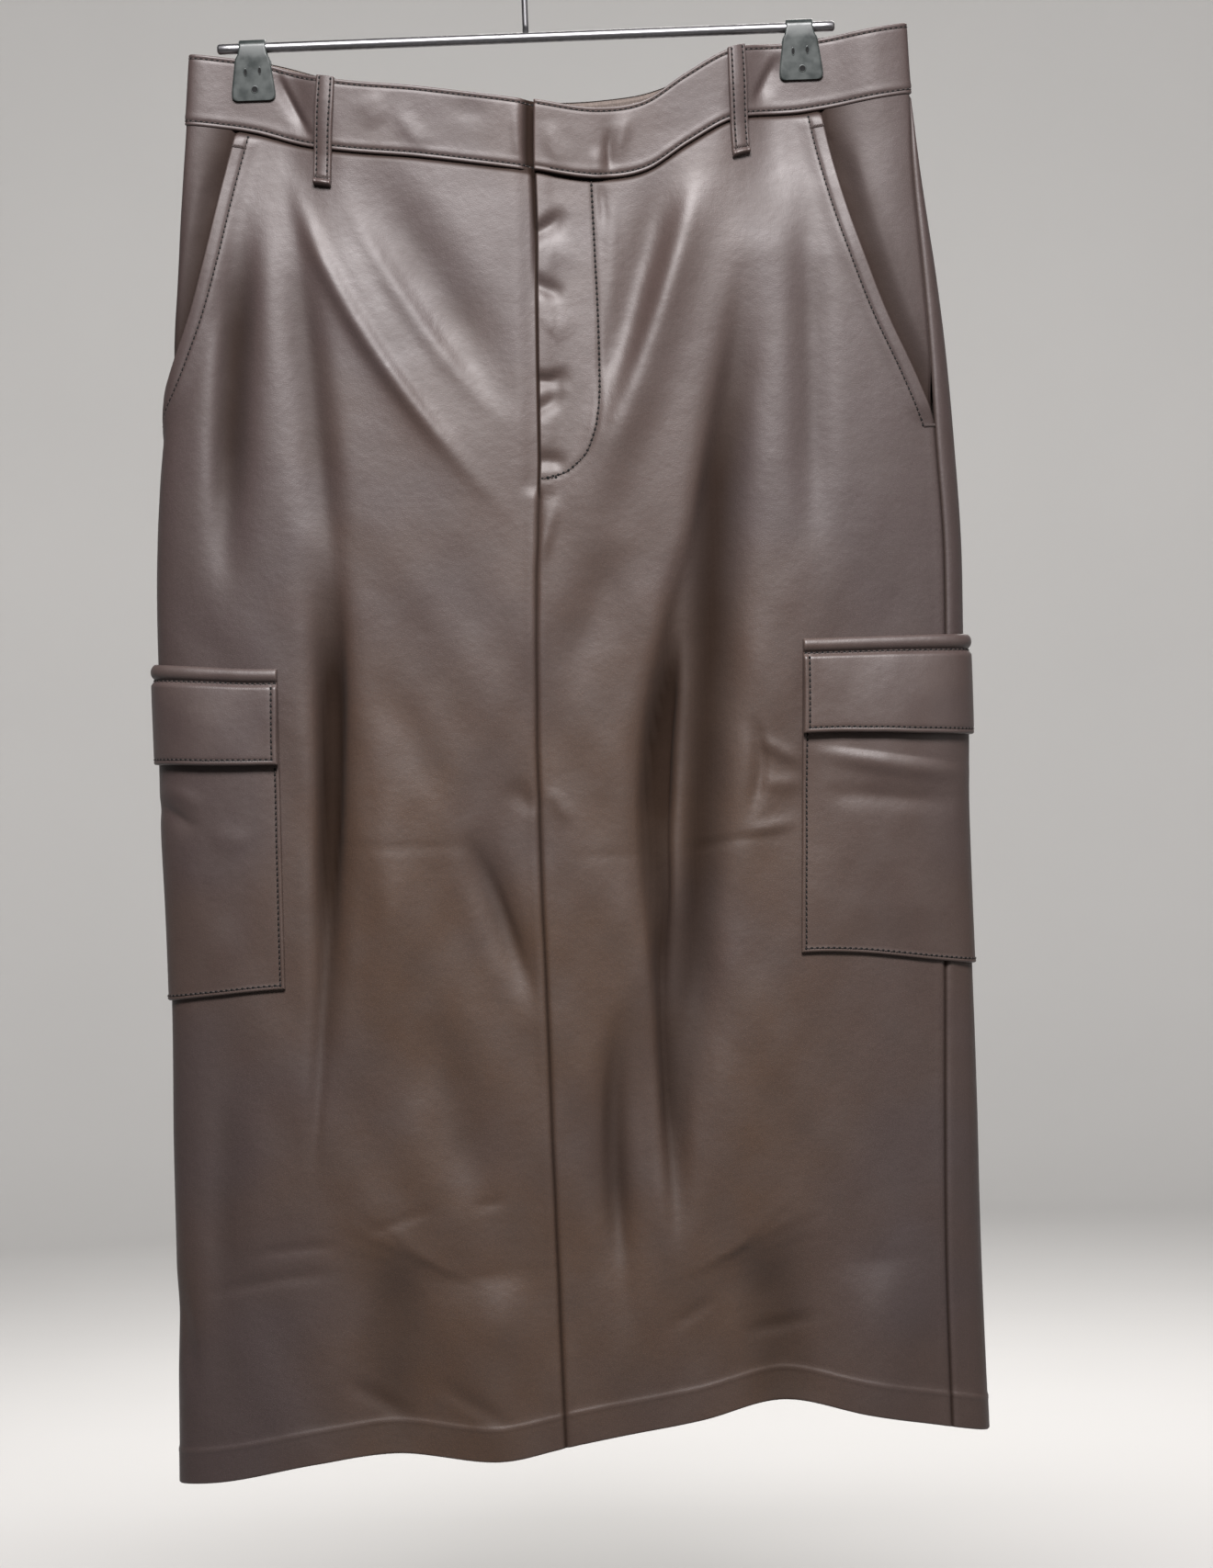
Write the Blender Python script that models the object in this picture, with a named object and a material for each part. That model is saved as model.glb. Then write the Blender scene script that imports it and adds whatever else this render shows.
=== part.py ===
"""Cargo midi skirt of coated cloth, hung by its waistband from a clip hanger.

Sizes are in millimetres here and become metres where a mesh is made. The
front faces -Y and +Z is up. The origin is the point under the top of the
hook where a rail bears. Left and right are as seen from the front.

A place on the cloth has two coordinates. "turn" runs round the skirt: 0 at
the left side fold, 1 near the middle of the front, 2 at the right side fold
and 3 near the middle of the back. "level" is the height that the place would
have if the waist and the hem were straight.
"""

import math
from typing import NamedTuple

import bmesh
import bpy
import numpy as np

MM = 0.001

# Heights of the skirt, as levels
BAND_TOP = -100.5
WAIST_SEAM = -145.0
SLANT_END = -349.0
FLY_END = -374.0
FLAP_TOP = -478.0
ROLL_BOTTOM = -487.0
FLAP_BOTTOM = -541.0
POCKET_BOTTOM = -684.0
HEM_STITCH = -955.0
HEM = -975.0

# Cloth: walls, the gaps between them, and how they stand off
CLOTH = 1.4
BAND = 2.2
FLAP = 2.2
LOOP = 1.8
GAP = 0.3
LAYER_GAP = 0.8
UNDERLAP_GAP = 1.5
SEAM_GAP = 0.45
BAND_PROUD = 0.8
PRESSED = 3.0
POCKET_PUFF = 3.0
PUFF_ACROSS = 0.6
PUFF_DOWN = 0.8
FLAP_LIFT = 4.0
FOLD_FLAT = 22.0
FOLD_HELD = 0.9

# Cut sizes
FLY_BEHIND = 10.0
UNDERLAP_WIDTH = 44.0
LAP_EDGE = 2.0
LAP_UNDER = 28.0
LAP_CLEAR = 2.4
LAP_RISE = 26.0
POCKET_WIDTH = 178.0
FACING_LEAST = 2.0
LOOP_WIDTH = 10.5
LOOP_DROP = 23.0

# Hanger
CLIP_X = 170.0
CLIP_WIDTH = 27.0
CLIP_NECK = 16.5
CLIP_BOTTOM = -130.5
CLIP_SHOULDER = -102.0
CLIP_PLATE = 1.6
CLIP_MARGIN = 1.5
BAR_Z = -97.0
BAR_RADIUS = 3.2
BAR_HALF = 192.0
BAR_SIDES = 12
HOOK_INSIDE = 20.0
HOOK_SHANK = 24.0
HOOK_NECK = 4.0
HOOK_START = -75
HOOK_STOP = 210
HOOK_STEP = 15
HOOK_TIP = 15.0
WIRE = 1.9
WIRE_SIDES = 8

# Half section of the hanging tube: a flat oval with blunt ends
SQUARENESS = 2.5
FLATNESS = 0.13
SECTION_PLACES = 721

# How the form changes: rows are straight for this far past the pockets, and
# the clips press the cloth for this far beside and below them
STRAIGHT = 25.0
PRESS_EDGE = 2.0
PRESS_BESIDE = 34.0
PRESS_SPREAD = 0.2
PRESS_START = 3.0
PRESS_BELOW = 110.0

# Steps for the slope of the cloth, places along a fold's bend, and the part
# of the bend, each way from its middle, where the fold is at its deepest
TURN_STEP = 0.006
LEVEL_STEP = 1.5
BEND_PLACES = 14
BEND_FULL = 0.1

# Rows and columns of the panels
ROWS_TO_SLANT = 6
ROWS_TO_FLAP = 4
ROWS_ON_POCKET = 5
ROWS_TO_HEM = 8
ROW_STEP = 1.0
FRONT_COLUMNS = 11
SIDE_COLUMNS = 6
BACK_COLUMNS = 6
FACING_COLUMNS = 5
FACING_SHARED = 3
UNDERLAP_COLUMNS = 5
BAND_ROWS = 4
BAND_LEAST = 4.5
SHARP_ANGLE = 40.0


class Outline(NamedTuple):
    """Side folds and half depths of the skirt at one level."""
    level: float
    left: float
    right: float
    front: float
    back: float


OUTLINE = (
    Outline(-90.0, -208.0, 236.0, 13.0, 13.0),
    Outline(-145.0, -213.2, 237.6, 14.0, 14.0),
    Outline(-200.0, -218.7, 242.7, 19.0, 18.0),
    Outline(-255.0, -223.6, 249.0, 24.0, 23.0),
    Outline(-310.0, -230.5, 253.8, 28.0, 27.0),
    Outline(-365.0, -237.6, 256.6, 31.0, 30.0),
    Outline(-420.0, -241.8, 258.4, 33.0, 32.0),
    Outline(-480.0, -243.2, 257.4, 34.0, 33.0),
    Outline(-541.0, -242.8, 256.4, 34.0, 34.0),
    Outline(-580.0, -243.2, 255.0, 34.0, 34.0),
    Outline(-630.0, -242.6, 254.8, 35.0, 34.0),
    Outline(-690.0, -242.8, 255.2, 35.0, 35.0),
    Outline(-770.0, -244.8, 254.9, 36.0, 36.0),
    Outline(-860.0, -246.0, 254.0, 37.0, 37.0),
    Outline(-990.0, -249.3, 254.6, 38.0, 38.0),
)


class Seams(NamedTuple):
    """Seams at one level: x at the centres, and the way round from the side
    folds to the side seams, forward positive."""
    level: float
    centre_front: float
    centre_back: float
    right: float
    left: float


SEAMS = (
    Seams(-90.0, 2.5, 10.0, 0.0, -28.0),
    Seams(-145.0, 2.5, 10.0, 2.0, -28.0),
    Seams(-175.0, 2.5, 10.0, 8.0, -28.0),
    Seams(-230.0, 1.0, 9.0, 13.0, -27.0),
    Seams(-281.0, 0.0, 8.0, 16.0, -26.0),
    Seams(-315.0, -0.5, 8.0, 17.5, -25.0),
    Seams(-349.0, -1.2, 7.0, 18.8, -23.0),
    Seams(-416.0, -5.0, 7.0, 18.8, -17.0),
    Seams(-470.0, -7.0, 6.0, 19.0, -13.0),
    Seams(-590.0, -9.8, 6.0, 22.0, -10.0),
    Seams(-684.0, -9.4, 6.0, 25.5, -8.0),
    Seams(-782.0, -9.0, 6.0, 29.3, -5.0),
    Seams(-990.0, -8.0, 5.0, 32.5, -4.0),
)


class Slant(NamedTuple):
    """The slanted pocket edges: the way round to them from the side folds,
    forward positive. They end on the side seams."""
    level: float
    right: float
    left: float


SLANTS = (
    Slant(-145.0, 64.0, 38.5),
    Slant(-175.0, 61.0, 33.0),
    Slant(-230.0, 53.0, 23.5),
    Slant(-281.0, 41.5, 12.0),
    Slant(-315.0, 30.0, 0.0),
    Slant(SLANT_END, 18.8, -23.0),
)


class Waist(NamedTuple):
    """Height of the waist seam at x on the front and on the back."""
    x: float
    front: float
    back: float


WAIST = (
    Waist(-213.0, -144.0, -144.0),
    Waist(-170.0, -151.0, -150.0),
    Waist(-136.0, -161.5, -158.5),
    Waist(-67.0, -171.5, -172.5),
    Waist(0.0, -182.0, -180.0),
    Waist(45.0, -189.0, -180.0),
    Waist(72.0, -185.0, -177.0),
    Waist(98.0, -169.5, -169.0),
    Waist(124.0, -156.0, -160.0),
    Waist(172.0, -151.0, -150.0),
    Waist(208.0, -146.0, -146.0),
    Waist(238.0, -141.5, -141.5),
)


class Hem(NamedTuple):
    """Height of the hem edge at x on the front and on the back."""
    x: float
    front: float
    back: float


HEMLINE = (
    Hem(-249.0, -986.0, -986.0),
    Hem(-224.0, -984.0, -981.0),
    Hem(-161.0, -973.0, -972.0),
    Hem(-115.0, -968.0, -968.0),
    Hem(-45.0, -974.0, -968.0),
    Hem(0.0, -966.0, -964.0),
    Hem(74.0, -954.5, -955.0),
    Hem(126.0, -944.5, -949.0),
    Hem(177.0, -955.5, -956.0),
    Hem(254.0, -972.0, -972.0),
)


class Tilt(NamedTuple):
    """How far the rows of the cargo pockets are shifted up at x."""
    x: float
    flap_top: float
    flap_bottom: float
    pocket_bottom: float


TILTS = (
    Tilt(-250.0, 0.0, 1.0, -3.0),
    Tilt(-168.0, -6.3, -2.3, 3.0),
    Tilt(-60.0, 0.0, 0.0, 0.0),
    Tilt(50.0, 0.0, 0.0, 0.0),
    Tilt(153.0, -0.2, 4.9, 13.5),
    Tilt(258.0, -0.5, 0.7, 1.5),
)
TILT_TOP = -400.0
TILT_END = -820.0


class Fold(NamedTuple):
    """A soft trough, or a ridge where its depth is negative, along a bend
    through three places given by x and height. A positive lean makes its
    left flank the softer one. The taper is the share of its width that it
    loses on the way down."""
    top_x: float
    top_z: float
    mid_x: float
    mid_z: float
    low_x: float
    low_z: float
    depth: float
    width: float
    lean: float = 0.0
    taper: float = 0.0


FRONT_FOLDS = (
    Fold(-177.0, -170.0, -186.0, -305.0, -200.0, -465.0, 8.0, 12.0),
    Fold(-154.0, -170.0, -139.0, -320.0, -130.0, -480.0, 7.0, 12.0, 0.2),
    Fold(-148.0, -155.0, -97.0, -285.0, -22.0, -402.0, -5.0, 14.0),
    Fold(-118.0, -160.0, -60.0, -250.0, -12.0, -350.0, 5.0, 18.0),
    Fold(-142.0, -400.0, -137.0, -560.0, -156.0, -800.0, 11.0, 13.0, -0.1, 0.5),
    Fold(-112.0, -470.0, -104.0, -620.0, -112.0, -760.0, -4.0, 16.0),
    Fold(-112.0, -480.0, -84.0, -532.0, -58.0, -590.0, 5.0, 12.0),
    Fold(-50.0, -580.0, -34.0, -645.0, -14.0, -710.0, 5.0, 10.0),
    Fold(112.0, -160.0, 70.0, -290.0, 10.0, -430.0, -6.0, 15.0),
    Fold(88.0, -172.0, 64.0, -262.0, 38.0, -355.0, 5.0, 12.0),
    Fold(171.0, -170.0, 168.0, -310.0, 163.0, -455.0, 5.0, 11.0),
    Fold(126.0, -230.0, 94.0, -550.0, 65.0, -850.0, 12.0, 19.0, -0.2, 0.5),
    Fold(84.0, -440.0, 56.0, -575.0, 68.0, -720.0, 5.0, 9.0),
    Fold(50.0, -410.0, 30.0, -455.0, 0.0, -520.0, 2.5, 13.0),
    Fold(40.0, -690.0, 28.0, -790.0, 34.0, -920.0, 6.0, 10.0),
    Fold(-207.0, -690.0, -213.0, -815.0, -222.0, -970.0, 5.0, 13.0),
    Fold(-84.0, -690.0, -70.0, -760.0, -56.0, -830.0, 4.0, 16.0),
    Fold(-100.0, -840.0, -112.0, -900.0, -116.0, -1060.0, 7.0, 26.0),
    Fold(112.0, -840.0, 124.0, -900.0, 128.0, -1060.0, 8.0, 26.0),
    Fold(-50.0, -860.0, -48.0, -920.0, -46.0, -1060.0, -6.0, 24.0),
    Fold(190.0, -860.0, 192.0, -920.0, 194.0, -1060.0, -5.0, 22.0),
    Fold(-154.0, -102.0, -148.0, -126.0, -140.0, -150.0, 4.0, 8.0),
    Fold(154.0, -102.0, 149.0, -124.0, 143.0, -146.0, 4.0, 8.0),
)

BACK_FOLDS = (
    Fold(-170.0, -160.0, -160.0, -290.0, -140.0, -440.0, 8.0, 13.0),
    Fold(-146.0, -152.0, -95.0, -275.0, -40.0, -400.0, -6.0, 16.0),
    Fold(170.0, -160.0, 160.0, -300.0, 148.0, -460.0, 8.0, 13.0),
    Fold(150.0, -152.0, 100.0, -280.0, 45.0, -410.0, -6.0, 16.0),
    Fold(-70.0, -420.0, -90.0, -600.0, -100.0, -820.0, 11.0, 16.0, 0.1, 0.4),
    Fold(90.0, -450.0, 104.0, -640.0, 90.0, -860.0, 11.0, 17.0, -0.1, 0.4),
    Fold(30.0, -520.0, 26.0, -650.0, 40.0, -800.0, 6.0, 12.0),
    Fold(-40.0, -820.0, -44.0, -900.0, -40.0, -1060.0, 7.0, 26.0),
    Fold(130.0, -850.0, 136.0, -920.0, 140.0, -1060.0, -6.0, 26.0),
)


class PocketEdge(NamedTuple):
    """Front edges of the cargo pockets at one level."""
    level: float
    left: float
    right: float


POCKET_EDGE = (
    PocketEdge(FLAP_TOP, -167.0, 156.0),
    PocketEdge(POCKET_BOTTOM, -169.5, 147.8),
)


class Place(NamedTuple):
    """A belt loop: the x where it crosses the waistband, and its side."""
    name: str
    x: float
    on_back: bool


LOOPS = (
    Place("belt_loop_front_left", -127.5, False),
    Place("belt_loop_front_right", 129.5, False),
    Place("belt_loop_back_left", -118.0, True),
    Place("belt_loop_back_centre", 10.0, True),
    Place("belt_loop_back_right", 134.0, True),
)


class LoopRow(NamedTuple):
    """How far a belt loop stands off the waistband at one level."""
    level: float
    off: float


LOOP_FOOT = WAIST_SEAM - LOOP_DROP
LOOP_FORM = (
    LoopRow(-100.9, 0.0),
    LoopRow(-104.0, 0.4),
    LoopRow(-114.0, 1.0),
    LoopRow(-127.0, 1.2),
    LoopRow(-139.0, 0.8),
    LoopRow(-147.0, 0.5),
    LoopRow(LOOP_FOOT + 8.0, 0.0),
    LoopRow(LOOP_FOOT, 0.0),
)


class ClipRow(NamedTuple):
    """Half the width of a clip's leg at one height."""
    z: float
    half: float


CLIP_LEG = (
    ClipRow(CLIP_BOTTOM, CLIP_WIDTH / 2 - 3.0),
    ClipRow(CLIP_BOTTOM + 0.9, CLIP_WIDTH / 2 - 0.9),
    ClipRow(CLIP_BOTTOM + 3.0, CLIP_WIDTH / 2),
    ClipRow(CLIP_BOTTOM + 16.0, CLIP_WIDTH / 2 - 1.2),
    ClipRow(CLIP_SHOULDER, CLIP_NECK / 2 + 1.0),
)


class Finish(NamedTuple):
    """Colour, roughness and metallic value of a material."""
    colour: tuple
    roughness: float
    metallic: float


FINISHES = {
    "coated_cloth": Finish((0.118, 0.086, 0.074), 0.42, 0.0),
    "clip_plate": Finish((0.055, 0.065, 0.062), 0.38, 0.2),
    "hanger_steel": Finish((0.55, 0.55, 0.56), 0.25, 1.0),
}


def fade(value, full, gone):
    """1 up to the first value, falling smoothly to 0 at the second."""
    step = np.clip((value - full) / (gone - full), 0.0, 1.0)
    return 1.0 - step * step * (3.0 - 2.0 * step)


def bump(distance, width):
    """1 on a line, falling softly to 0 beside it."""
    return np.exp(-(distance / width) ** 2)


def read(table, column, at):
    """Read one column of a table, smoothly between its rows."""
    keys = np.array([row[0] for row in table])
    values = np.array([getattr(row, column) for row in table])
    order = np.argsort(keys)
    keys, values = keys[order], values[order]
    slopes = np.gradient(values, keys)
    at = np.clip(at, keys[0], keys[-1])
    i = np.clip(np.searchsorted(keys, at) - 1, 0, len(keys) - 2)
    span = keys[i + 1] - keys[i]
    u = (at - keys[i]) / span
    rise = values[i] * (1 + 2 * u) * (1 - u) ** 2 + values[i + 1] * u * u * (3 - 2 * u)
    lean = slopes[i] * u * (1 - u) ** 2 - slopes[i + 1] * u * u * (1 - u)
    return rise + span * lean


def half_section():
    """Side, depth and way round of the half section, each from 0 or -1 to 1."""
    angle = np.linspace(-math.pi / 2, math.pi / 2, SECTION_PLACES)
    side = np.sign(angle) * np.abs(np.sin(angle)) ** (2 / SQUARENESS)
    depth = np.abs(np.cos(angle)) ** (2 / SQUARENESS)
    steps = np.hypot(np.diff(side), FLATNESS * np.diff(depth))
    way = np.concatenate(([0.0], np.cumsum(steps)))
    return side, depth, way


SIDE, DEPTH, WAY = half_section()
WAY_LENGTH = WAY[-1]
WAY = WAY / WAY_LENGTH


def bend_of(fold):
    """Places along a fold's bend."""
    ends = np.array([[fold.top_x, fold.top_z], [fold.low_x, fold.low_z]])
    pull = 2 * np.array([fold.mid_x, fold.mid_z]) - ends.mean(axis=0)
    u = np.linspace(0.0, 1.0, BEND_PLACES)[:, None]
    return ends[0] * (1 - u) ** 2 + 2 * pull * u * (1 - u) + ends[1] * u * u


def beside_line(line, x, z):
    """Distance from a line, how far along it, and the side of it, at x and z."""
    nearest = np.full(x.shape, np.inf)
    along = np.zeros_like(x)
    side = np.zeros_like(x)
    parts = len(line) - 1
    for i in range(parts):
        run = line[i + 1] - line[i]
        away_x = x - line[i][0]
        away_z = z - line[i][1]
        u = np.clip((away_x * run[0] + away_z * run[1]) / run.dot(run), 0.0, 1.0)
        distance = np.hypot(away_x - u * run[0], away_z - u * run[1])
        closer = distance < nearest
        nearest = np.where(closer, distance, nearest)
        along = np.where(closer, (i + u) / parts, along)
        side = np.where(closer, np.sign(run[0] * away_z - run[1] * away_x), side)
    return nearest, along, side


def folds_at(folds, x, z):
    """How far a set of folds pushes the cloth inward at x and z."""
    push = np.zeros_like(x)
    for fold in folds:
        distance, along, side = beside_line(bend_of(fold), x, z)
        reach = fade(np.abs(along - 0.5), BEND_FULL, 0.5)
        width = fold.width * (1 - fold.lean * side) * (1 - fold.taper * along)
        push += fold.depth * reach * bump(distance, width)
    return push


def pressed(x, z):
    """How fully the clips press the front and the back together."""
    beside = np.minimum(np.abs(x - CLIP_X), np.abs(x + CLIP_X))
    below = np.maximum(CLIP_BOTTOM - PRESS_START - z, 0.0)
    edge = CLIP_WIDTH / 2 + PRESS_EDGE
    gone = edge + PRESS_BESIDE + PRESS_SPREAD * below
    return fade(beside, edge, gone) * fade(below, 0.0, PRESS_BELOW)


def tilted(x, level, on_back):
    """How far the rows of the cargo pockets are shifted up. On the back the
    shift changes evenly from one side fold to the other."""
    keys = (TILT_END, POCKET_BOTTOM, FLAP_BOTTOM, FLAP_TOP, TILT_TOP)
    folds = (TILTS[0], TILTS[-1])
    shift = np.zeros_like(x)
    for place, column in enumerate(("pocket_bottom", "flap_bottom", "flap_top"), start=1):
        share = np.interp(level, keys, np.arange(len(keys)) == place)
        back = np.interp(x, [row.x for row in folds], [getattr(row, column) for row in folds])
        shift = shift + share * np.where(on_back, back, read(TILTS, column, x))
    return shift


def cloth(turn, level):
    """Places on the outer face of the skirt, as x, y and z."""
    lap = np.mod(turn, 4.0)
    on_back = lap > 2.0
    way = np.where(on_back, 4.0 - lap, lap) / 2
    side = np.interp(way, WAY, SIDE)
    blunt = np.interp(way, WAY, DEPTH)
    left = read(OUTLINE, "left", level)
    right = read(OUTLINE, "right", level)
    x = (left + right) / 2 + side * (right - left) / 2

    waist_x = WAIST[0].x + (side + 1) / 2 * (WAIST[-1].x - WAIST[0].x)
    hem_x = HEMLINE[0].x + (side + 1) / 2 * (HEMLINE[-1].x - HEMLINE[0].x)
    waist = np.where(on_back, read(WAIST, "back", waist_x), read(WAIST, "front", waist_x))
    hem = np.where(on_back, read(HEMLINE, "back", hem_x), read(HEMLINE, "front", hem_x))
    z = level + (waist - WAIST_SEAM) * fade(-level, -WAIST_SEAM, -FLAP_TOP + STRAIGHT)
    z = z + (hem - HEM) * fade(level, HEM, POCKET_BOTTOM - STRAIGHT) + tilted(x, level, on_back)

    half = np.where(on_back, read(OUTLINE, "back", level), read(OUTLINE, "front", level))
    out = half * blunt
    out = out - np.maximum(out - PRESSED, 0.0) * pressed(x, z)
    push = np.where(on_back, folds_at(BACK_FOLDS, x, z), folds_at(FRONT_FOLDS, x, z))
    out = out - push * blunt * (1.0 - pressed(x, z))
    return np.stack((x, np.where(on_back, out, -out), z), axis=-1)


def skin(turn, level, out):
    """Places moved out of the cloth's outer face along its normal."""
    turn, level, out = np.broadcast_arrays(turn, level, out)
    turn = turn.astype(float)
    level = level.astype(float)
    across = cloth(turn + TURN_STEP, level) - cloth(turn - TURN_STEP, level)
    upward = cloth(turn, level + LEVEL_STEP) - cloth(turn, level - LEVEL_STEP)
    normal = np.cross(across, upward)
    normal = normal / np.linalg.norm(normal, axis=-1, keepdims=True)
    return cloth(turn, level) + normal * out[..., None]


def turn_length(level):
    """Millimetres round the skirt for one unit of turn."""
    width = read(OUTLINE, "right", level) - read(OUTLINE, "left", level)
    return width / 2 * WAY_LENGTH / 2


def turn_at(x, level, on_back=False):
    """The turn of a place given by its x."""
    left = read(OUTLINE, "left", level)
    right = read(OUTLINE, "right", level)
    side = (2 * x - left - right) / (right - left)
    way = 2 * np.interp(side, SIDE, WAY)
    return 4.0 - way if on_back else way


def centre_front(level):
    return turn_at(read(SEAMS, "centre_front", level), level)


def centre_back(level):
    return turn_at(read(SEAMS, "centre_back", level), level, on_back=True)


def beside_right(table, level):
    return 2.0 - read(table, "right", level) / turn_length(level)


def beside_left(table, level):
    return read(table, "left", level) / turn_length(level)


def levels():
    """The rows of all panels, from the waist seam to the hem."""
    return np.concatenate((
        np.linspace(WAIST_SEAM - SEAM_GAP, SLANT_END, ROWS_TO_SLANT + 1),
        np.linspace(SLANT_END, FLAP_TOP, ROWS_TO_FLAP + 1)[1:],
        [ROLL_BOTTOM, (ROLL_BOTTOM + FLAP_BOTTOM) / 2, FLAP_BOTTOM],
        np.linspace(FLAP_BOTTOM, POCKET_BOTTOM, ROWS_ON_POCKET + 1)[1:],
        np.linspace(POCKET_BOTTOM, HEM_STITCH + ROW_STEP, ROWS_TO_HEM + 1)[1:],
        [HEM_STITCH - ROW_STEP, HEM],
    ))


LEVELS = levels()


def row_of(level):
    return int(np.argmin(np.abs(LEVELS - level)))


def held_fraction(near, far, part):
    """The fraction of the way from one seam to another, held above and below
    the pocket."""
    level = np.clip(LEVELS, POCKET_BOTTOM, FLAP_TOP)
    return (part(level) - near(level)) / (far(level) - near(level))


def spread(first, middle, last, columns_a, columns_b):
    """Columns of a panel between its two edges, one of them the middle line."""
    parts_a = np.linspace(0.0, 1.0, columns_a + 1)[:-1]
    parts_b = np.linspace(0.0, 1.0, columns_b + 1)
    lines_a = first[:, None] + (middle - first)[:, None] * parts_a
    lines_b = middle[:, None] + (last - middle)[:, None] * parts_b
    return np.concatenate((lines_a, lines_b), axis=1)


def material(name):
    finish = FINISHES[name]
    made = bpy.data.materials.get(name) or bpy.data.materials.new(name)
    made.use_nodes = True
    shader = made.node_tree.nodes["Principled BSDF"]
    shader.inputs["Base Color"].default_value = (*finish.colour, 1.0)
    shader.inputs["Roughness"].default_value = finish.roughness
    shader.inputs["Metallic"].default_value = finish.metallic
    return made


def add_object(name, points, faces, finish):
    """Make one closed body from points in millimetres."""
    mesh = bpy.data.meshes.new(name)
    mesh.from_pydata([tuple(point * MM) for point in points], [], faces)
    work = bmesh.new()
    work.from_mesh(mesh)
    bmesh.ops.recalc_face_normals(work, faces=work.faces)
    work.to_mesh(mesh)
    work.free()
    mesh.materials.append(material(finish))
    mesh.shade_smooth()
    mesh.set_sharp_from_angle(angle=math.radians(SHARP_ANGLE))
    made = bpy.data.objects.new(name, mesh)
    bpy.context.collection.objects.link(made)
    return made


def add_wall(name, outer, inner, finish="coated_cloth"):
    """A closed wall between two grids of points of the same shape."""
    rows, columns = outer.shape[:2]
    points = np.concatenate((outer.reshape(-1, 3), inner.reshape(-1, 3)))
    inside = rows * columns
    faces = []
    for row in range(rows - 1):
        for column in range(columns - 1):
            a = row * columns + column
            b, c, d = a + 1, a + columns + 1, a + columns
            faces += [(a, d, c), (a, c, b)]
            faces += [(a + inside, c + inside, d + inside)]
            faces += [(a + inside, b + inside, c + inside)]
    top = list(range(columns))
    right = [row * columns + columns - 1 for row in range(1, rows)]
    low = [(rows - 1) * columns + column for column in range(columns - 2, -1, -1)]
    left = [row * columns for row in range(rows - 2, 0, -1)]
    rim = top + right + low + left
    for a, b in zip(rim, rim[1:] + rim[:1]):
        faces += [(a, b, b + inside), (a, b + inside, a + inside)]
    return add_object(name, points, faces, finish)


def add_cloth(name, turns, rows, out, thick):
    """A wall of cloth along columns of turns and rows of levels."""
    rows = np.broadcast_to(rows[:, None], turns.shape)
    out = np.broadcast_to(out, turns.shape)
    outer = skin(turns, rows, out)
    inner = skin(turns, rows, out - thick)
    return add_wall(name, outer, inner)


def hidden_turns(shown):
    """The way round that a cargo pocket takes behind its side seam, from the
    way that it takes in front of it."""
    hidden = POCKET_WIDTH - np.abs(shown) * turn_length(LEVELS)
    ends = (hidden[row_of(FLAP_TOP)], hidden[row_of(POCKET_BOTTOM)])
    return np.interp(-LEVELS, (-FLAP_TOP, -POCKET_BOTTOM), ends) / turn_length(LEVELS)


def panel_columns():
    """Columns of the four panels, as turns at every level."""
    half_gap = GAP / 2 / turn_length(LEVELS)
    front = centre_front(LEVELS)
    back = centre_back(LEVELS)
    right_seam = beside_right(SEAMS, LEVELS)
    left_seam = beside_left(SEAMS, LEVELS)
    slanted = LEVELS > SLANT_END + ROW_STEP
    right_edge = np.where(slanted, beside_right(SLANTS, LEVELS), right_seam)
    left_edge = np.where(slanted, beside_left(SLANTS, LEVELS), left_seam)

    share = held_fraction(
        centre_front,
        lambda level: beside_right(SEAMS, level),
        lambda level: turn_at(read(POCKET_EDGE, "right", level), level))
    right_line = front + (right_edge - front) * share
    front_right = spread(front + half_gap, right_line, right_edge - half_gap,
                         FRONT_COLUMNS, SIDE_COLUMNS)

    share = held_fraction(
        centre_front,
        lambda level: beside_left(SEAMS, level),
        lambda level: turn_at(read(POCKET_EDGE, "left", level), level))
    left_line = front + (left_edge - front) * share
    front_left = spread(front - half_gap, left_line, left_edge + half_gap,
                        FRONT_COLUMNS, SIDE_COLUMNS)[:, ::-1]

    back_line = right_seam + hidden_turns(right_seam - right_line)
    back_right = spread(right_seam + half_gap, back_line, back - half_gap,
                        SIDE_COLUMNS, BACK_COLUMNS)

    back_line = left_seam - hidden_turns(left_line - left_seam)
    back_left = spread(left_seam - half_gap, back_line, back + half_gap - 4.0,
                       SIDE_COLUMNS, BACK_COLUMNS)[:, ::-1]
    return front_left, front_right, back_left, back_right


def add_panels(columns):
    """The four panels, doubled at the hem by the turned allowance."""
    thick = np.where(LEVELS < HEM_STITCH, 2 * CLOTH, CLOTH)[:, None]
    names = ("front_left", "front_right", "back_left", "back_right")
    for name, turns in zip(names, columns):
        add_cloth(name, turns, LEVELS, 0.0, thick)


def flatter(turns, rows):
    """How freely a pocket stands off: hardly at the side fold."""
    from_fold = np.abs(np.mod(turns + 1.0, 2.0) - 1.0) * turn_length(rows)
    return 1.0 - FOLD_HELD * bump(from_fold, FOLD_FLAT)


def pocket_puff(turns, rows):
    """How far a cargo pocket stands off its panels."""
    first, last = turns[:, :1], turns[:, -1:]
    down = np.clip((ROLL_BOTTOM - rows) / (ROLL_BOTTOM - POCKET_BOTTOM), 0.0, 1.0)
    across = np.sin(math.pi * np.clip((turns - first) / (last - first), 0.0, 1.0))
    rise = np.sin(math.pi * down ** PUFF_DOWN) * np.maximum(across, 0.0) ** PUFF_ACROSS
    return POCKET_PUFF * rise * flatter(turns, rows)


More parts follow.
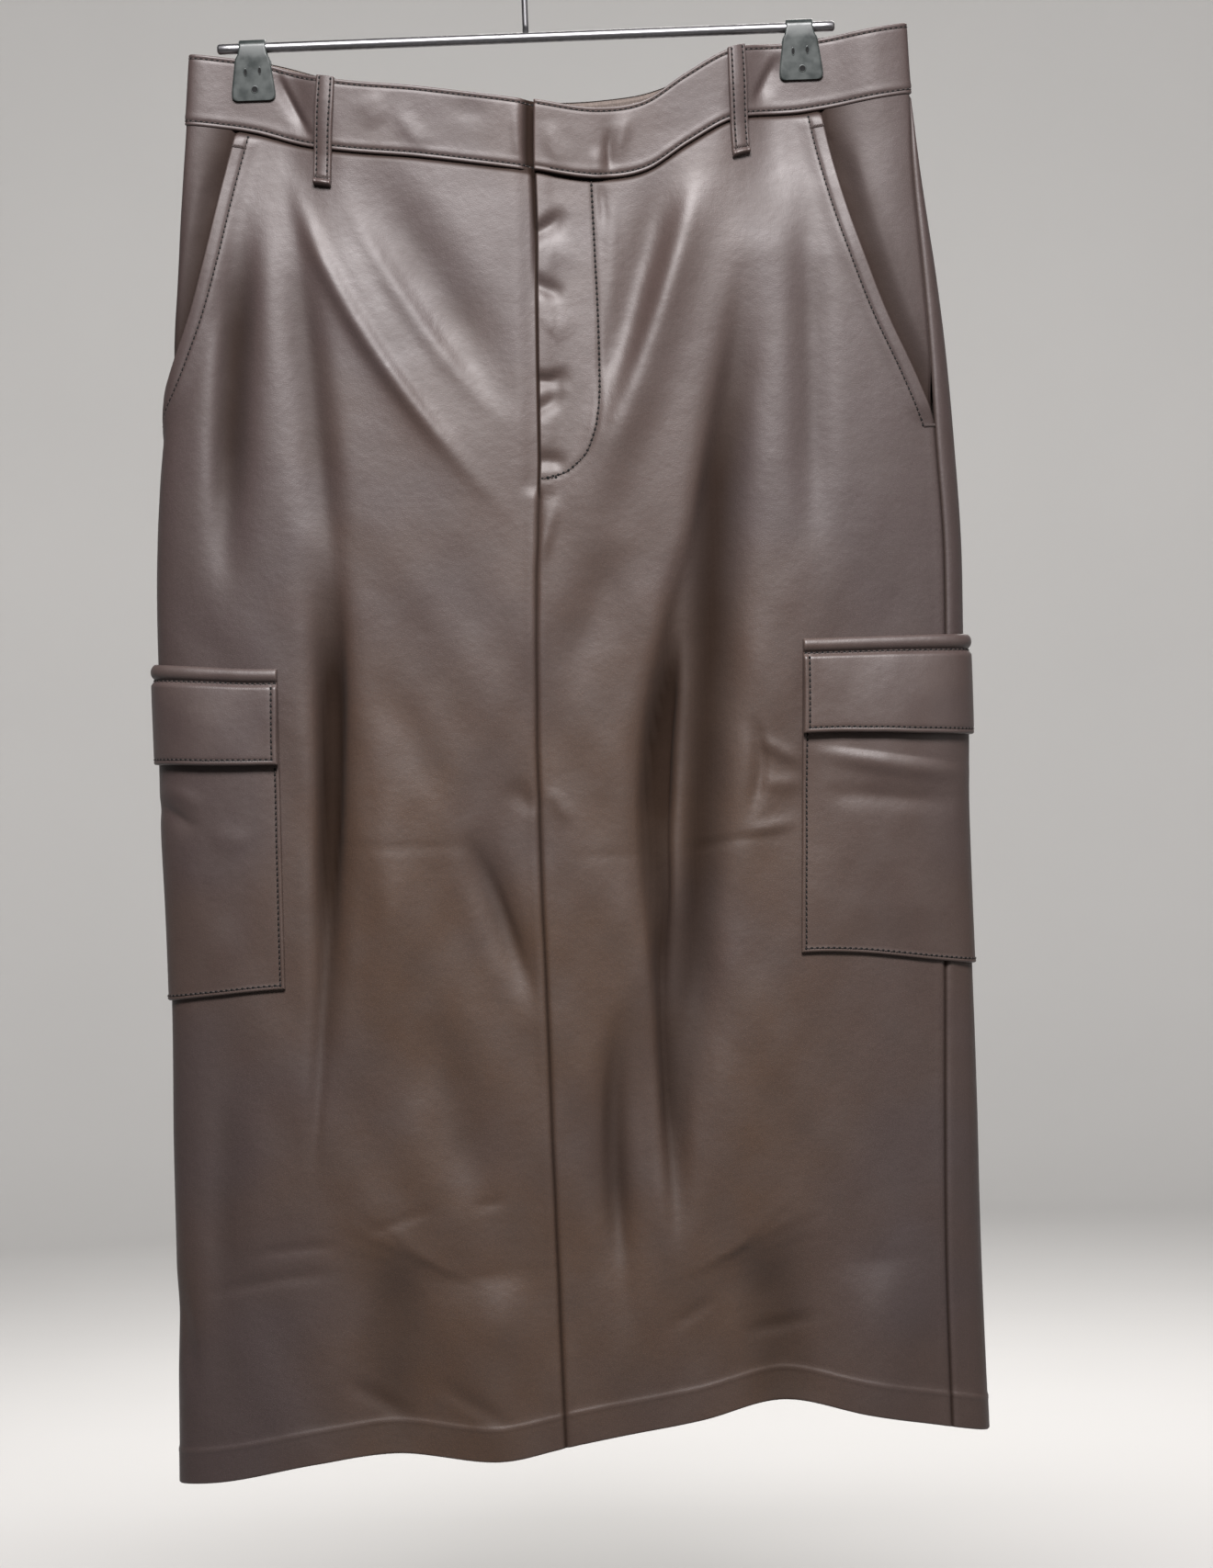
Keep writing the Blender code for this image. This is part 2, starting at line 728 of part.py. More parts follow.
def add_cargo_pocket(side, turns):
    """A patch pocket and its flap, made from the panels' points, moved out."""
    first, roll = row_of(FLAP_TOP), row_of(ROLL_BOTTOM)
    flap_end, last = row_of(FLAP_BOTTOM), row_of(POCKET_BOTTOM)
    rows = LEVELS[roll:last + 1]
    pocket_turns = turns[roll:last + 1]
    pocket_out = 2 * GAP + CLOTH + pocket_puff(pocket_turns, rows[:, None])
    add_cloth("cargo_pocket_" + side, pocket_turns, rows, pocket_out, CLOTH)

    covered = flap_end - roll + 1
    part = (ROLL_BOTTOM - rows[:covered, None]) / (ROLL_BOTTOM - FLAP_BOTTOM)
    lift = FLAP_LIFT * part * flatter(pocket_turns[:covered], rows[:covered, None])
    over = pocket_out[:covered] + 2 * GAP + FLAP + lift
    top = np.full((1, turns.shape[1]), 2 * GAP + FLAP)
    flap_out = np.concatenate((top, over))
    add_cloth("cargo_flap_" + side, turns[first:flap_end + 1],
              LEVELS[first:flap_end + 1], flap_out, FLAP)


def add_cargo_pockets(columns):
    front_left, front_right, back_left, back_right = columns
    right = np.concatenate((front_right[:, FRONT_COLUMNS:-1],
                            back_right[:, :SIDE_COLUMNS + 1]), axis=1)
    left = np.concatenate((back_left[:, BACK_COLUMNS:-1],
                           front_left[:, :SIDE_COLUMNS + 1]), axis=1)
    add_cargo_pocket("right", right)
    add_cargo_pocket("left", left)


def facing_columns(front_left, front_right):
    """Columns of the pieces seen behind the slanted pocket openings. Their
    hidden part has the last columns of the front that covers them."""
    rows = LEVELS[:row_of(SLANT_END) + 1]
    half_gap = GAP / 2 / turn_length(rows)
    least = FACING_LEAST / turn_length(rows)
    parts = np.linspace(0.0, 1.0, FACING_COLUMNS + 1)[1:]

    hidden = front_right[:len(rows), -FACING_SHARED:]
    seam = np.maximum(beside_right(SEAMS, rows) - half_gap, hidden[:, -1] + least)
    shown = hidden[:, -1:] + (seam - hidden[:, -1])[:, None] * parts
    right = np.concatenate((hidden, shown), axis=1)

    hidden = front_left[:len(rows), :FACING_SHARED]
    seam = np.minimum(beside_left(SEAMS, rows) + half_gap, hidden[:, 0] - least)
    shown = hidden[:, :1] + (seam - hidden[:, 0])[:, None] * parts
    left = np.concatenate((shown[:, ::-1], hidden), axis=1)
    return left, right


def add_facings(columns):
    rows = LEVELS[:row_of(SLANT_END) + 1]
    for side, turns in zip(("left", "right"), columns):
        add_cloth("pocket_facing_" + side, turns, rows, -CLOTH - LAYER_GAP, CLOTH)


def add_fly_underlap():
    """The strip behind the fly edge, from the waist seam to the fly's end."""
    rows = LEVELS[:row_of(FLY_END) + 1]
    start = centre_front(rows) - FLY_BEHIND / turn_length(rows)
    width = UNDERLAP_WIDTH / turn_length(rows)
    turns = start[:, None] + width[:, None] * np.linspace(0.0, 1.0, UNDERLAP_COLUMNS)
    add_cloth("fly_underlap", turns, rows, -CLOTH - UNDERLAP_GAP, CLOTH)


def after(turn, start):
    """The same place counted from the start of the waistband."""
    return float(turn) if turn > start else float(turn) + 4.0


def band_columns(columns):
    """Turns round the waistband: those of the panels below it, with the
    edges of the loops and the clips among them."""
    start = float(turn_at(LAP_EDGE, WAIST_SEAM))
    end = float(turn_at(LAP_EDGE + LAP_UNDER, WAIST_SEAM)) + 4.0
    fixed = [start, end]
    for past in (LAP_CLEAR, LAP_RISE / 2, LAP_RISE):
        fixed.append(float(turn_at(LAP_EDGE + LAP_UNDER + past, WAIST_SEAM)))
    for loop in LOOPS:
        for edge in (-LOOP_WIDTH / 2, LOOP_WIDTH / 2):
            fixed.append(after(turn_at(loop.x + edge, WAIST_SEAM, loop.on_back), start))
    for centre in (-CLIP_X, CLIP_X):
        for edge in (-CLIP_WIDTH / 2 - CLIP_MARGIN, CLIP_WIDTH / 2 + CLIP_MARGIN):
            for on_back in (False, True):
                fixed.append(after(turn_at(centre + edge, WAIST_SEAM, on_back), start))
    turns = sorted(fixed)
    least = BAND_LEAST / turn_length(WAIST_SEAM)
    seam_row = row_of(WAIST_SEAM)
    for panel in columns:
        for turn in panel[seam_row]:
            spot = after(turn % 4.0, start)
            if spot < end and min(abs(spot - other) for other in turns) > least:
                turns.append(spot)
    return np.array(sorted(turns)), start


def add_waistband(columns):
    """One double strip round the waist. Its right end stands off to lap over
    its left end at the centre front."""
    rows = np.linspace(BAND_TOP, WAIST_SEAM + SEAM_GAP, BAND_ROWS)
    turns, start = band_columns(columns)
    way = (turns - start) * turn_length(WAIST_SEAM)
    out = BAND_PROUD + (BAND + GAP) * fade(way, LAP_UNDER + LAP_CLEAR, LAP_UNDER + LAP_RISE)
    turns = np.broadcast_to(turns, (len(rows), len(turns)))
    add_cloth("waistband", turns, rows, out[None, :], BAND)


def add_belt_loop(loop):
    """A folded strip over the waistband, fast at its top and at its foot."""
    rows, off = np.array(LOOP_FORM).T
    edges = np.array((-LOOP_WIDTH / 2, 0.0, LOOP_WIDTH / 2))
    turns = np.sort(turn_at(loop.x + edges, WAIST_SEAM, loop.on_back))
    turns = np.broadcast_to(turns, (len(rows), len(turns)))
    out = BAND_PROUD + 2 * GAP + LOOP + off
    add_cloth(loop.name, turns, rows, out[:, None], LOOP)


def add_clip(name, x):
    """A bent plate over the bar, whose two legs press the waistband."""
    leg = PRESSED + BAND_PROUD + GAP
    round_bar = BAR_RADIUS + GAP
    path = [(-leg, row.z, row.half) for row in CLIP_LEG]
    top = [(round_bar * math.cos(angle), BAR_Z + round_bar * math.sin(angle), CLIP_NECK / 2)
           for angle in np.linspace(math.pi, 0.0, 7)]
    path = np.array(path + top + [(-y, z, width) for y, z, width in path[::-1]])
    along = np.gradient(path[:, :2], axis=0)
    along = along / np.linalg.norm(along, axis=1, keepdims=True)
    grids = []
    for plate in (CLIP_PLATE, 0.0):
        grid = [[(x + width * part, y - plate * rise, z + plate * run)
                 for part in (-1.0, 0.0, 1.0)]
                for (y, z, width), (run, rise) in zip(path, along)]
        grids.append(np.array(grid))
    add_wall(name, grids[0], grids[1], "clip_plate")


def add_rod(name, route, radius, sides, finish):
    """A closed round rod along a route in the XZ plane."""
    route = np.array(route)
    ahead = np.gradient(route, axis=0)
    ahead = ahead / np.linalg.norm(ahead, axis=1, keepdims=True)
    points = []
    for spot, way in zip(route, ahead):
        across = np.array([-way[1], way[0]])
        for angle in np.arange(sides) * 2 * math.pi / sides:
            flat = spot + across * radius * math.cos(angle)
            points.append((flat[0], radius * math.sin(angle), flat[1]))
    faces = []
    for ring in range(len(route) - 1):
        for side in range(sides):
            a = ring * sides + side
            b = ring * sides + (side + 1) % sides
            faces.append((a, b, b + sides, a + sides))
    faces.append(tuple(range(sides)))
    faces.append(tuple(range(len(points) - sides, len(points))))
    add_object(name, np.array(points), faces, finish)


def add_hanger():
    """The bar, the hook that stands on it, and the two clips."""
    add_rod("hanger_bar", [(-BAR_HALF, BAR_Z), (BAR_HALF, BAR_Z)],
            BAR_RADIUS, BAR_SIDES, "hanger_steel")
    bend = HOOK_INSIDE + WIRE
    centre_z = -HOOK_INSIDE
    foot = BAR_Z + BAR_RADIUS + GAP
    route = [(0.0, foot), (0.0, foot + HOOK_SHANK / 2), (0.0, foot + HOOK_SHANK),
             (0.0, centre_z - bend - HOOK_NECK)]
    for degrees in range(HOOK_START, HOOK_STOP + 1, HOOK_STEP):
        angle = math.radians(degrees)
        route.append((bend * math.cos(angle), centre_z + bend * math.sin(angle)))
    route.append((-bend, centre_z - HOOK_TIP))
    add_rod("hanger_hook", route, WIRE, WIRE_SIDES, "hanger_steel")
    add_clip("clip_left", -CLIP_X)
    add_clip("clip_right", CLIP_X)


def main():
    for old in list(bpy.data.objects):
        bpy.data.objects.remove(old, do_unlink=True)
    columns = panel_columns()
    add_panels(columns)
    add_cargo_pockets(columns)
    facings = facing_columns(*columns[:2])
    add_facings(facings)
    add_fly_underlap()
    add_waistband(columns + facings)
    for loop in LOOPS:
        add_belt_loop(loop)
    add_hanger()


main()
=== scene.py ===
"""Looks of a cargo midi skirt of coated cloth, hung from a clip hanger.

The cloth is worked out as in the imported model: its places have a "turn" round
the skirt (0 at the left side fold, 1 near the middle of the front, 2 at the
right side fold, 3 near the middle of the back) and a "level", the height that
they would have if the waist and the hem were straight. Sizes are in
millimetres and become metres where a mesh is made. Left and right are as seen
from the front, which faces -Y.
"""

import math
from collections import namedtuple

import bpy
import numpy as np
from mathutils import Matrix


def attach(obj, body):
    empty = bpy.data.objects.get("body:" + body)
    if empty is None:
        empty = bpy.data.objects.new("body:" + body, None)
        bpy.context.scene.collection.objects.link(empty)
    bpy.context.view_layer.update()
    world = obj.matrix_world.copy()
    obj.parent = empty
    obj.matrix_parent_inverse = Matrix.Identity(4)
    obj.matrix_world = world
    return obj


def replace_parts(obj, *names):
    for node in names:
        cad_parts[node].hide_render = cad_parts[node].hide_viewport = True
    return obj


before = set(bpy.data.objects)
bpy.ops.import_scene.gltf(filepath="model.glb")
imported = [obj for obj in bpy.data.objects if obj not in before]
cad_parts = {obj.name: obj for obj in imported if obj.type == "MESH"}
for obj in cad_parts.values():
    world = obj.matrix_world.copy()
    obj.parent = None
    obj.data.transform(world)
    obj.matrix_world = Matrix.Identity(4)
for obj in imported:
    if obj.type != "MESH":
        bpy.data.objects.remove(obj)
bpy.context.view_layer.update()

MM = 0.001
BODY = "root"

# Heights of the skirt, as levels
BAND_TOP = -100.5
WAIST_SEAM = -145.0
SLANT_END = -349.0
FLY_END = -374.0
FLAP_TOP = -478.0
ROLL_BOTTOM = -487.0
FLAP_BOTTOM = -541.0
POCKET_BOTTOM = -684.0
HEM_STITCH = -955.0
HEM = -975.0

# Cloth
CLOTH = 1.4
BAND = 2.2
FLAP = 2.2
LOOP = 1.8
GAP = 0.3
LAYER_GAP = 0.8
SEAM_GAP = 0.45
BAND_PROUD = 0.8
PRESSED = 3.0
POCKET_PUFF = 3.0
FLAP_LIFT = 2.4
FOLD_FLAT = 22.0

# Cut sizes
FLY_BEHIND = 10.0
UNDERLAP_WIDTH = 44.0
SLANT_BEHIND = 26.0
TUCK_TOP = -142.6
NECK_OUT = 2.7
LAP_EDGE = 2.0
LAP_UNDER = 28.0
LAP_CLEAR = 2.4
LAP_RISE = 26.0
POCKET_WIDTH = 178.0
LOOP_WIDTH = 10.5
LOOP_DROP = 23.0

# Hanger
CLIP_X = 170.0
CLIP_WIDTH = 27.0
CLIP_NECK = 16.5
CLIP_BOTTOM = -130.5
CLIP_SHOULDER = -102.0
CLIP_PLATE = 1.6
BAR_Z = -97.0
BAR_RADIUS = 3.2
BAR_HALF = 192.0
HOOK_INSIDE = 20.0
WIRE = 1.9

# Holes of a clip: the size and the reach of their rings
HOLE_SIDES = 20
HOLE_RINGS = ((1.35, -0.1), (1.2, 0.22), (1.0, 0.12))

# Half section of the hanging tube: a flat oval with blunt ends
SQUARENESS = 2.5
FLATNESS = 0.13

# Sewing
STITCH_PITCH = 3.4
STITCH_LENGTH = 2.4
STITCH_RADIUS = 0.46
LOOP_THREAD = 0.36
TACK_PITCH = 0.75
TACK_TOP = -155.0
SLANT_STITCH = 8.6
POCKET_STITCH = 2.6
FLAP_STITCH = 3.4
BAND_STITCH = 2.7

# Rings of a stitch: their share of its length and radius, and their rise
CAPSULE_SIDES = 6
CAPSULE = ((-0.5, 0.35, -0.25), (-0.3, 0.9, 0.12), (0.0, 1.0, 0.26), (0.3, 0.9, 0.12),
           (0.5, 0.35, -0.25))
# Rings of a needle hole: their radius and rise
NEEDLE_HOLE = ((0.0, -0.3), (0.85, -0.1), (0.85, 0.15), (0.0, 0.2))

# Spacing of the points of the fine meshes
PANEL_STEP = 2.7
BACK_STEP = 4.0
POCKET_STEP = 1.7
FLAP_STEP = 1.5
BAND_STEP = 1.9
LOOP_STEP = 0.8
EDGE_PLACES = (0.0, 0.15, 0.4, 0.8, 1.3, 1.9)
SLANT_PLACES = (*EDGE_PLACES, 2.6, 3.6, 4.8, 6.2, 7.2, 7.9, 8.6, 9.3, 10.0, 11.2, 13.0)
FLAP_ROLL_PLACES = (0.0, 0.4, 0.9, 1.6, 2.5, 3.4, 4.3, 5.2, 6.1, 7.0, 7.8, 8.4, 8.9, 9.4,
                    9.8, 10.2, 10.7, 11.2, 11.9, 12.8, 14.0)
FLAP_LOW_PLACES = (4.6, 3.6, 3.1, 2.7, 2.3, 1.8, 1.3, 0.8, 0.4, 0.15, 0.0)

# How far the rim of a shell swells, as a share of its thickness
RIM_SWELL = 0.22

# Depths at which the painted shade of a fold begins, and over which it is fully dark
PAINTED_SHADE_START = 3.0
PAINTED_SHADE_SPAN = 10.0

# Picture and studio. The picture's middle and height are in millimetres at
# the skirt, its roll in degrees and the floor and wall in metres.
PHOTO_CENTRE = (32.3, -562.7)
PHOTO_TALL = 975.4
PHOTO_ROLL = 2.2
CAMERA_DISTANCE = 2200.0
SENSOR = 36.0
FLOOR_Z = -1.25
FLOOR_RADIUS = 3.4
FLOOR_SIDES = 96
COVE = 1.2
WALL_TALL = 2.6


def tabulate(kind, *rows):
    """A table whose rows have named columns."""
    return [kind(*row) for row in rows]


# Side folds and half depths of the skirt at one level.
Outline = namedtuple("Outline", "level left right front back")

OUTLINE = tabulate(
    Outline,
    (-90, -208, 236, 13, 13),
    (-145, -213.2, 237.6, 14, 14),
    (-200, -218.7, 242.7, 19, 18),
    (-255, -223.6, 249, 24, 23),
    (-310, -230.5, 253.8, 28, 27),
    (-365, -237.6, 256.6, 31, 30),
    (-420, -241.8, 258.4, 33, 32),
    (-480, -243.2, 257.4, 34, 33),
    (-541, -242.8, 256.4, 34, 34),
    (-580, -243.2, 255, 34, 34),
    (-630, -242.6, 254.8, 35, 34),
    (-690, -242.8, 255.2, 35, 35),
    (-770, -244.8, 254.9, 36, 36),
    (-860, -246, 254, 37, 37),
    (-990, -249.3, 254.6, 38, 38),
)

# Seams at one level: x at the centres, and the way round from the side folds
# to the side seams, forward positive.
Seams = namedtuple("Seams", "level centre_front centre_back right left")

SEAMS = tabulate(
    Seams,
    (-90, 2.5, 10, 0, -28),
    (-145, 2.5, 10, 2, -28),
    (-175, 2.5, 10, 8, -28),
    (-230, 1, 9, 13, -27),
    (-281, 0, 8, 16, -26),
    (-315, -0.5, 8, 17.5, -25),
    (-349, -1.2, 7, 18.8, -23),
    (-416, -5, 7, 18.8, -17),
    (-470, -7, 6, 19, -13),
    (-590, -9.8, 6, 22, -10),
    (-684, -9.4, 6, 25.5, -8),
    (-782, -9, 6, 29.3, -5),
    (-990, -8, 5, 32.5, -4),
)

# The slanted pocket edges: the way round to them from the side folds, forward
# positive. They end on the side seams.
Slant = namedtuple("Slant", "level right left")

SLANTS = tabulate(
    Slant,
    (-145, 64, 38.5),
    (-175, 61, 33),
    (-230, 53, 23.5),
    (-281, 41.5, 12),
    (-315, 30, 0),
    (SLANT_END, 18.8, -23),
)

# Height of the waist seam at x on the front and on the back.
Waist = namedtuple("Waist", "x front back")

WAIST = tabulate(
    Waist,
    (-213, -144, -144),
    (-170, -151, -150),
    (-136, -161.5, -158.5),
    (-67, -171.5, -172.5),
    (0, -182, -180),
    (45, -189, -180),
    (72, -185, -177),
    (98, -169.5, -169),
    (124, -156, -160),
    (172, -151, -150),
    (208, -146, -146),
    (238, -141.5, -141.5),
)

# Height of the hem edge at x on the front and on the back.
Hem = namedtuple("Hem", "x front back")

HEMLINE = tabulate(
    Hem,
    (-249, -986, -986),
    (-224, -984, -981),
    (-161, -973, -972),
    (-115, -968, -968),
    (-45, -974, -968),
    (0, -966, -964),
    (74, -954.5, -955),
    (126, -944.5, -949),
    (177, -955.5, -956),
    (254, -972, -972),
)

# How far the rows of the cargo pockets are shifted up at x.
Tilt = namedtuple("Tilt", "x flap_top flap_bottom pocket_bottom")

TILTS = tabulate(
    Tilt,
    (-250, 0, 1, -3),
    (-168, -6.3, -2.3, 3),
    (-60, 0, 0, 0),
    (50, 0, 0, 0),
    (153, -0.2, 4.9, 13.5),
    (258, -0.5, 0.7, 1.5),
)
TILT_TOP = -400.0
TILT_END = -820.0

# A soft trough, or a ridge where its depth is negative, along a bend through
# three places given by x and height. A positive lean makes its left flank the
# softer one. The taper is the share of its width that it loses on the way
# down.
Fold = namedtuple("Fold", "top_x top_z mid_x mid_z low_x "
                  "low_z depth width lean taper", defaults=(0, 0))

FRONT_FOLDS = tabulate(
    Fold,
    (-177, -170, -186, -305, -200, -465, 8, 12),
    (-154, -170, -139, -320, -130, -480, 7, 12, 0.2),
    (-148, -155, -97, -285, -22, -402, -5, 14),
    (-118, -160, -60, -250, -12, -350, 5, 18),
    (-142, -400, -137, -560, -156, -800, 11, 13, -0.1, 0.5),
    (-112, -470, -104, -620, -112, -760, -4, 16),
    (-112, -480, -84, -532, -58, -590, 5, 12),
    (-50, -580, -34, -645, -14, -710, 5, 10),
    (112, -160, 70, -290, 10, -430, -6, 15),
    (88, -172, 64, -262, 38, -355, 5, 12),
    (171, -170, 168, -310, 163, -455, 5, 11),
    (126, -230, 94, -550, 65, -850, 12, 19, -0.2, 0.5),
    (84, -440, 56, -575, 68, -720, 5, 9),
    (50, -410, 30, -455, 0, -520, 2.5, 13),
    (40, -690, 28, -790, 34, -920, 6, 10),
    (-207, -690, -213, -815, -222, -970, 5, 13),
    (-84, -690, -70, -760, -56, -830, 4, 16),
    (-100, -840, -112, -900, -116, -1060, 7, 26),
    (112, -840, 124, -900, 128, -1060, 8, 26),
    (-50, -860, -48, -920, -46, -1060, -6, 24),
    (190, -860, 192, -920, 194, -1060, -5, 22),
    (-154, -102, -148, -126, -140, -150, 4, 8),
    (154, -102, 149, -124, 143, -146, 4, 8),
)

BACK_FOLDS = tabulate(
    Fold,
    (-170, -160, -160, -290, -140, -440, 8, 13),
    (-146, -152, -95, -275, -40, -400, -6, 16),
    (170, -160, 160, -300, 148, -460, 8, 13),
    (150, -152, 100, -280, 45, -410, -6, 16),
    (-70, -420, -90, -600, -100, -820, 11, 16, 0.1, 0.4),
    (90, -450, 104, -640, 90, -860, 11, 17, -0.1, 0.4),
    (30, -520, 26, -650, 40, -800, 6, 12),
    (-40, -820, -44, -900, -40, -1060, 7, 26),
    (130, -850, 136, -920, 140, -1060, -6, 26),
)

# Creases that are finer than the model's folds, by the piece that has them
FRONT_CREASES = tabulate(
    Fold,
    (-176, -200, -192, -315, -200, -450, 4.5, 9),
    (-131, -410, -133, -530, -147, -700, 4.5, 8, 0.3, 0.3),
    (-143, -640, -151, -735, -159, -810, 2, 4),
    (-148, -155, -97, -285, -22, -402, 2.6, 14),
    (-150, -168, -108, -278, -14, -404, -3.2, 5.5),
    (-122, -180, -74, -272, -16, -345, -1.6, 6),
    (-112, -480, -84, -532, -58, -590, -3.6, 12),
    (134, -225, 112, -350, 82, -470, 6, 12, -0.3),
    (100, -395, 70, -510, 62, -650, 8, 12, -0.4),
    (86, -460, 68, -570, 72, -700, 6.5, 8.5, 0.2),
    (84, -470, 57, -577, 69, -700, 2.8, 3.2),
    (64, -590, 63, -715, 66, -880, 9.5, 9, -0.2, 0.3),
    (54, -680, 46, -770, 40, -870, 2.4, 14),
    (36, -695, 28, -780, 33, -870, 2.2, 5),
    (107, -172, 78, -265, 28, -383, -1.6, 7),
    (46, -198, 48, -235, 39, -310, -0.7, 5),
    (-150, -594, -92, -597, -40, -597, 0.3, 3),
    (-60, -586, -38, -628, -16, -700, 1.9, 6, 0.4),
    (6, -606, 34, -607, 64, -605, 0.25, 3),
    (74, -607, 108, -600, 148, -597, 0.7, 2.6),
    (112, -599, 132, -593, 153, -590, -1.1, 4),
    (-207, -846, -170, -841, -136, -840, 0.7, 3),
    (-234, -871, -185, -860, -136, -857, 0.8, 3.5),
    (-132, -836, -105, -826, -75, -817, 0.7, 3),
    (-63, -820, -49, -817, -35, -815, 0.6, 3),
    (-147, -920, -122, -934, -97, -950, 1, 5),
    (-90, -922, -62, -940, -34, -956, 1, 5),
    (54, -899, 72, -889, 89, -877, 0.8, 4),
    (99, -901, 128, -898, 157, -891, 0.9, 4),
    (-245, -850, -241, -893, -236, -930, 2, 6),
    (121, -520, 128, -556, 115, -594, 2.8, 4.2, 0.3),
    (124, -536, 139, -546, 154, -556, -1.5, 4),
    (124, -560, 140, -567, 154, -561, -1.1, 5),
    (-30, -560, -19, -570, -10, -582, 1, 6),
    (-4, -562, 3, -574, 12, -588, -0.9, 5),
    (10, -382, 3, -404, -5, -432, -1.5, 4.5),
)

FLY_DENTS = tabulate(
    Fold,
    (-12, -226, 6, -218, 22, -206, 3.4, 5, 0.3),
    (-12, -246, 5, -255, 20, -262, 2.8, 5),
    (-12, -304, 4, -313, 21, -306, 3.4, 5, 0.3),
    (-12, -336, 3, -329, 17, -318, 2.8, 5),
    (-12, -368, 3, -363, 18, -369, 2.2, 5),
    (6, -234, 14, -235, 27, -229, -0.7, 9),
    (4, -284, 12, -280, 25, -289, -0.7, 10),
    (41, -190, 44, -205, 45, -224, 0.8, 3.2),
)

BACK_CREASES = tabulate(
    Fold,
    (-116, -183, -74, -262, -24, -340, -1.6, 8),
    (128, -180, 96, -255, 52, -350, -1.6, 8),
    (-80, -560, -60, -566, -36, -560, 0.8, 3.5),
    (40, -540, 66, -552, 96, -556, 2, 6),
    (-140, -870, -110, -862, -78, -866, 0.8, 4),
    (60, -880, 92, -893, 128, -890, 0.9, 4),
    (-30, -925, -6, -940, 18, -952, 1, 5),
    (180, -905, 190, -925, 204, -945, 1.2, 5),
)

BAND_CREASES = tabulate(
    Fold,
    (-157, -108, -146, -133, -131, -163, 2.6, 3.2, 0.5),
    (158, -112, 148, -128, 137, -150, 2.4, 4.5, -0.5),
    (51, -156, 48, -172, 49, -190, 1.8, 3.4, -0.3),
    (43, -168, 41, -180, 42, -192, -1.1, 3.6),
    (62, -146, 57, -162, 51, -180, -1.2, 4.6),
    (10, -150, 15, -168, 20, -186, -0.9, 5),
    (-6, -134, -8, -158, -5, -180, -1, 3.2),
    (-100, -128, -96, -140, -90, -152, -0.8, 9),
    (-84, -138, -72, -156, -64, -168, -0.8, 6),
    (-48, -150, -36, -144, -24, -156, 0.7, 8),
)

POCKET_CREASES = tabulate(
    Fold,
    (-247, -562, -233, -571, -216, -583, 1.4, 5, 0.3),
    (-243, -554, -228, -560, -212, -570, -0.9, 5),
    (-214, -590, -200, -588, -186, -594, -0.8, 8),
    (150, -545, 205, -556, 262, -565, -2, 4.5, 0.3),
    (156, -573, 205, -577, 258, -583, 1.5, 7),
    (170, -640, 205, -646, 240, -640, -0.8, 14),
)

# A faint wave of the cloth: its lengths along x and z, where it starts, and
# how far it moves the cloth.
Ripple = namedtuple("Ripple", "across down start reach")

RIPPLES = tabulate(
    Ripple,
    (150, -260, 0.4, 0.7),
    (-88, 170, 2.1, 0.45),
    (61, 120, 4, 0.3),
    (-43, -76, 1.2, 0.16),
    (29, -51, 5.3, 0.08),
)

# Front edges of the cargo pockets at one level.
PocketEdge = namedtuple("PocketEdge", "level left right")

POCKET_EDGE = tabulate(
    PocketEdge,
    (FLAP_TOP, -167, 156),
    (POCKET_BOTTOM, -169.5, 147.8),
)

# A belt loop: the x where it crosses the waistband, and its side.
Place = namedtuple("Place", "name x on_back")

LOOPS = tabulate(
    Place,
    ("belt_loop_front_left", -127.5, False),
    ("belt_loop_front_right", 129.5, False),
    ("belt_loop_back_left", -118, True),
    ("belt_loop_back_centre", 10, True),
    ("belt_loop_back_right", 134, True),
)

# The stitched line of the fly, by x and height.
FlyStitch = namedtuple("FlyStitch", "x z")

FLY_STITCH = tabulate(
    FlyStitch,
    (37.1, -186),
    (37.6, -231.5),
    (38.2, -277),
    (37.5, -323.6),
    (34.5, -343.5),
    (28.1, -359.8),
    (15.7, -370.8),
    (0.1, -374.2),
)

# A small hole in the front of a clip, from its middle and its bottom.
ClipHole = namedtuple("ClipHole", "x z half_wide half_tall")

CLIP_HOLES = tabulate(
    ClipHole,
    (-4.6, 17.6, 0.9, 2.1),
    (4.2, 18.2, 0.9, 2.1),
    (0.8, 6.8, 1.9, 1.9),
)

# A soft area light and the place that it is aimed at, in metres.
Lamp = namedtuple("Lamp", "name x y z wide tall power colour aim_y aim_z")

LAMPS = tabulate(
    Lamp,
    ("key", 0.05, -1.45, 1, 1, 0.55, 84, (1, 0.965, 0.97), 0, -0.4),
    ("side", 1.9, -1.3, 0.1, 0.7, 1.4, 5, (1, 0.95, 0.92), 0, -0.6),
    ("backdrop", 0, 1, 0.6, 2.4, 1.2, 60, (1, 0.98, 0.96), 4, -0.4),
    ("behind", 0.5, 1.6, 0.85, 1.3, 0.7, 25, (1, 0.97, 0.95), 0, -0.45),
)


# ---- The cloth's form ----

def fade(value, full, gone):
    """1 up to the first value, falling smoothly to 0 at the second."""
    step = np.clip((value - full) / (gone - full), 0.0, 1.0)
    return 1.0 - step * step * (3.0 - 2.0 * step)


def bump(distance, width):
    """1 on a line, falling softly to 0 beside it."""
    return np.exp(-(distance / width) ** 2)


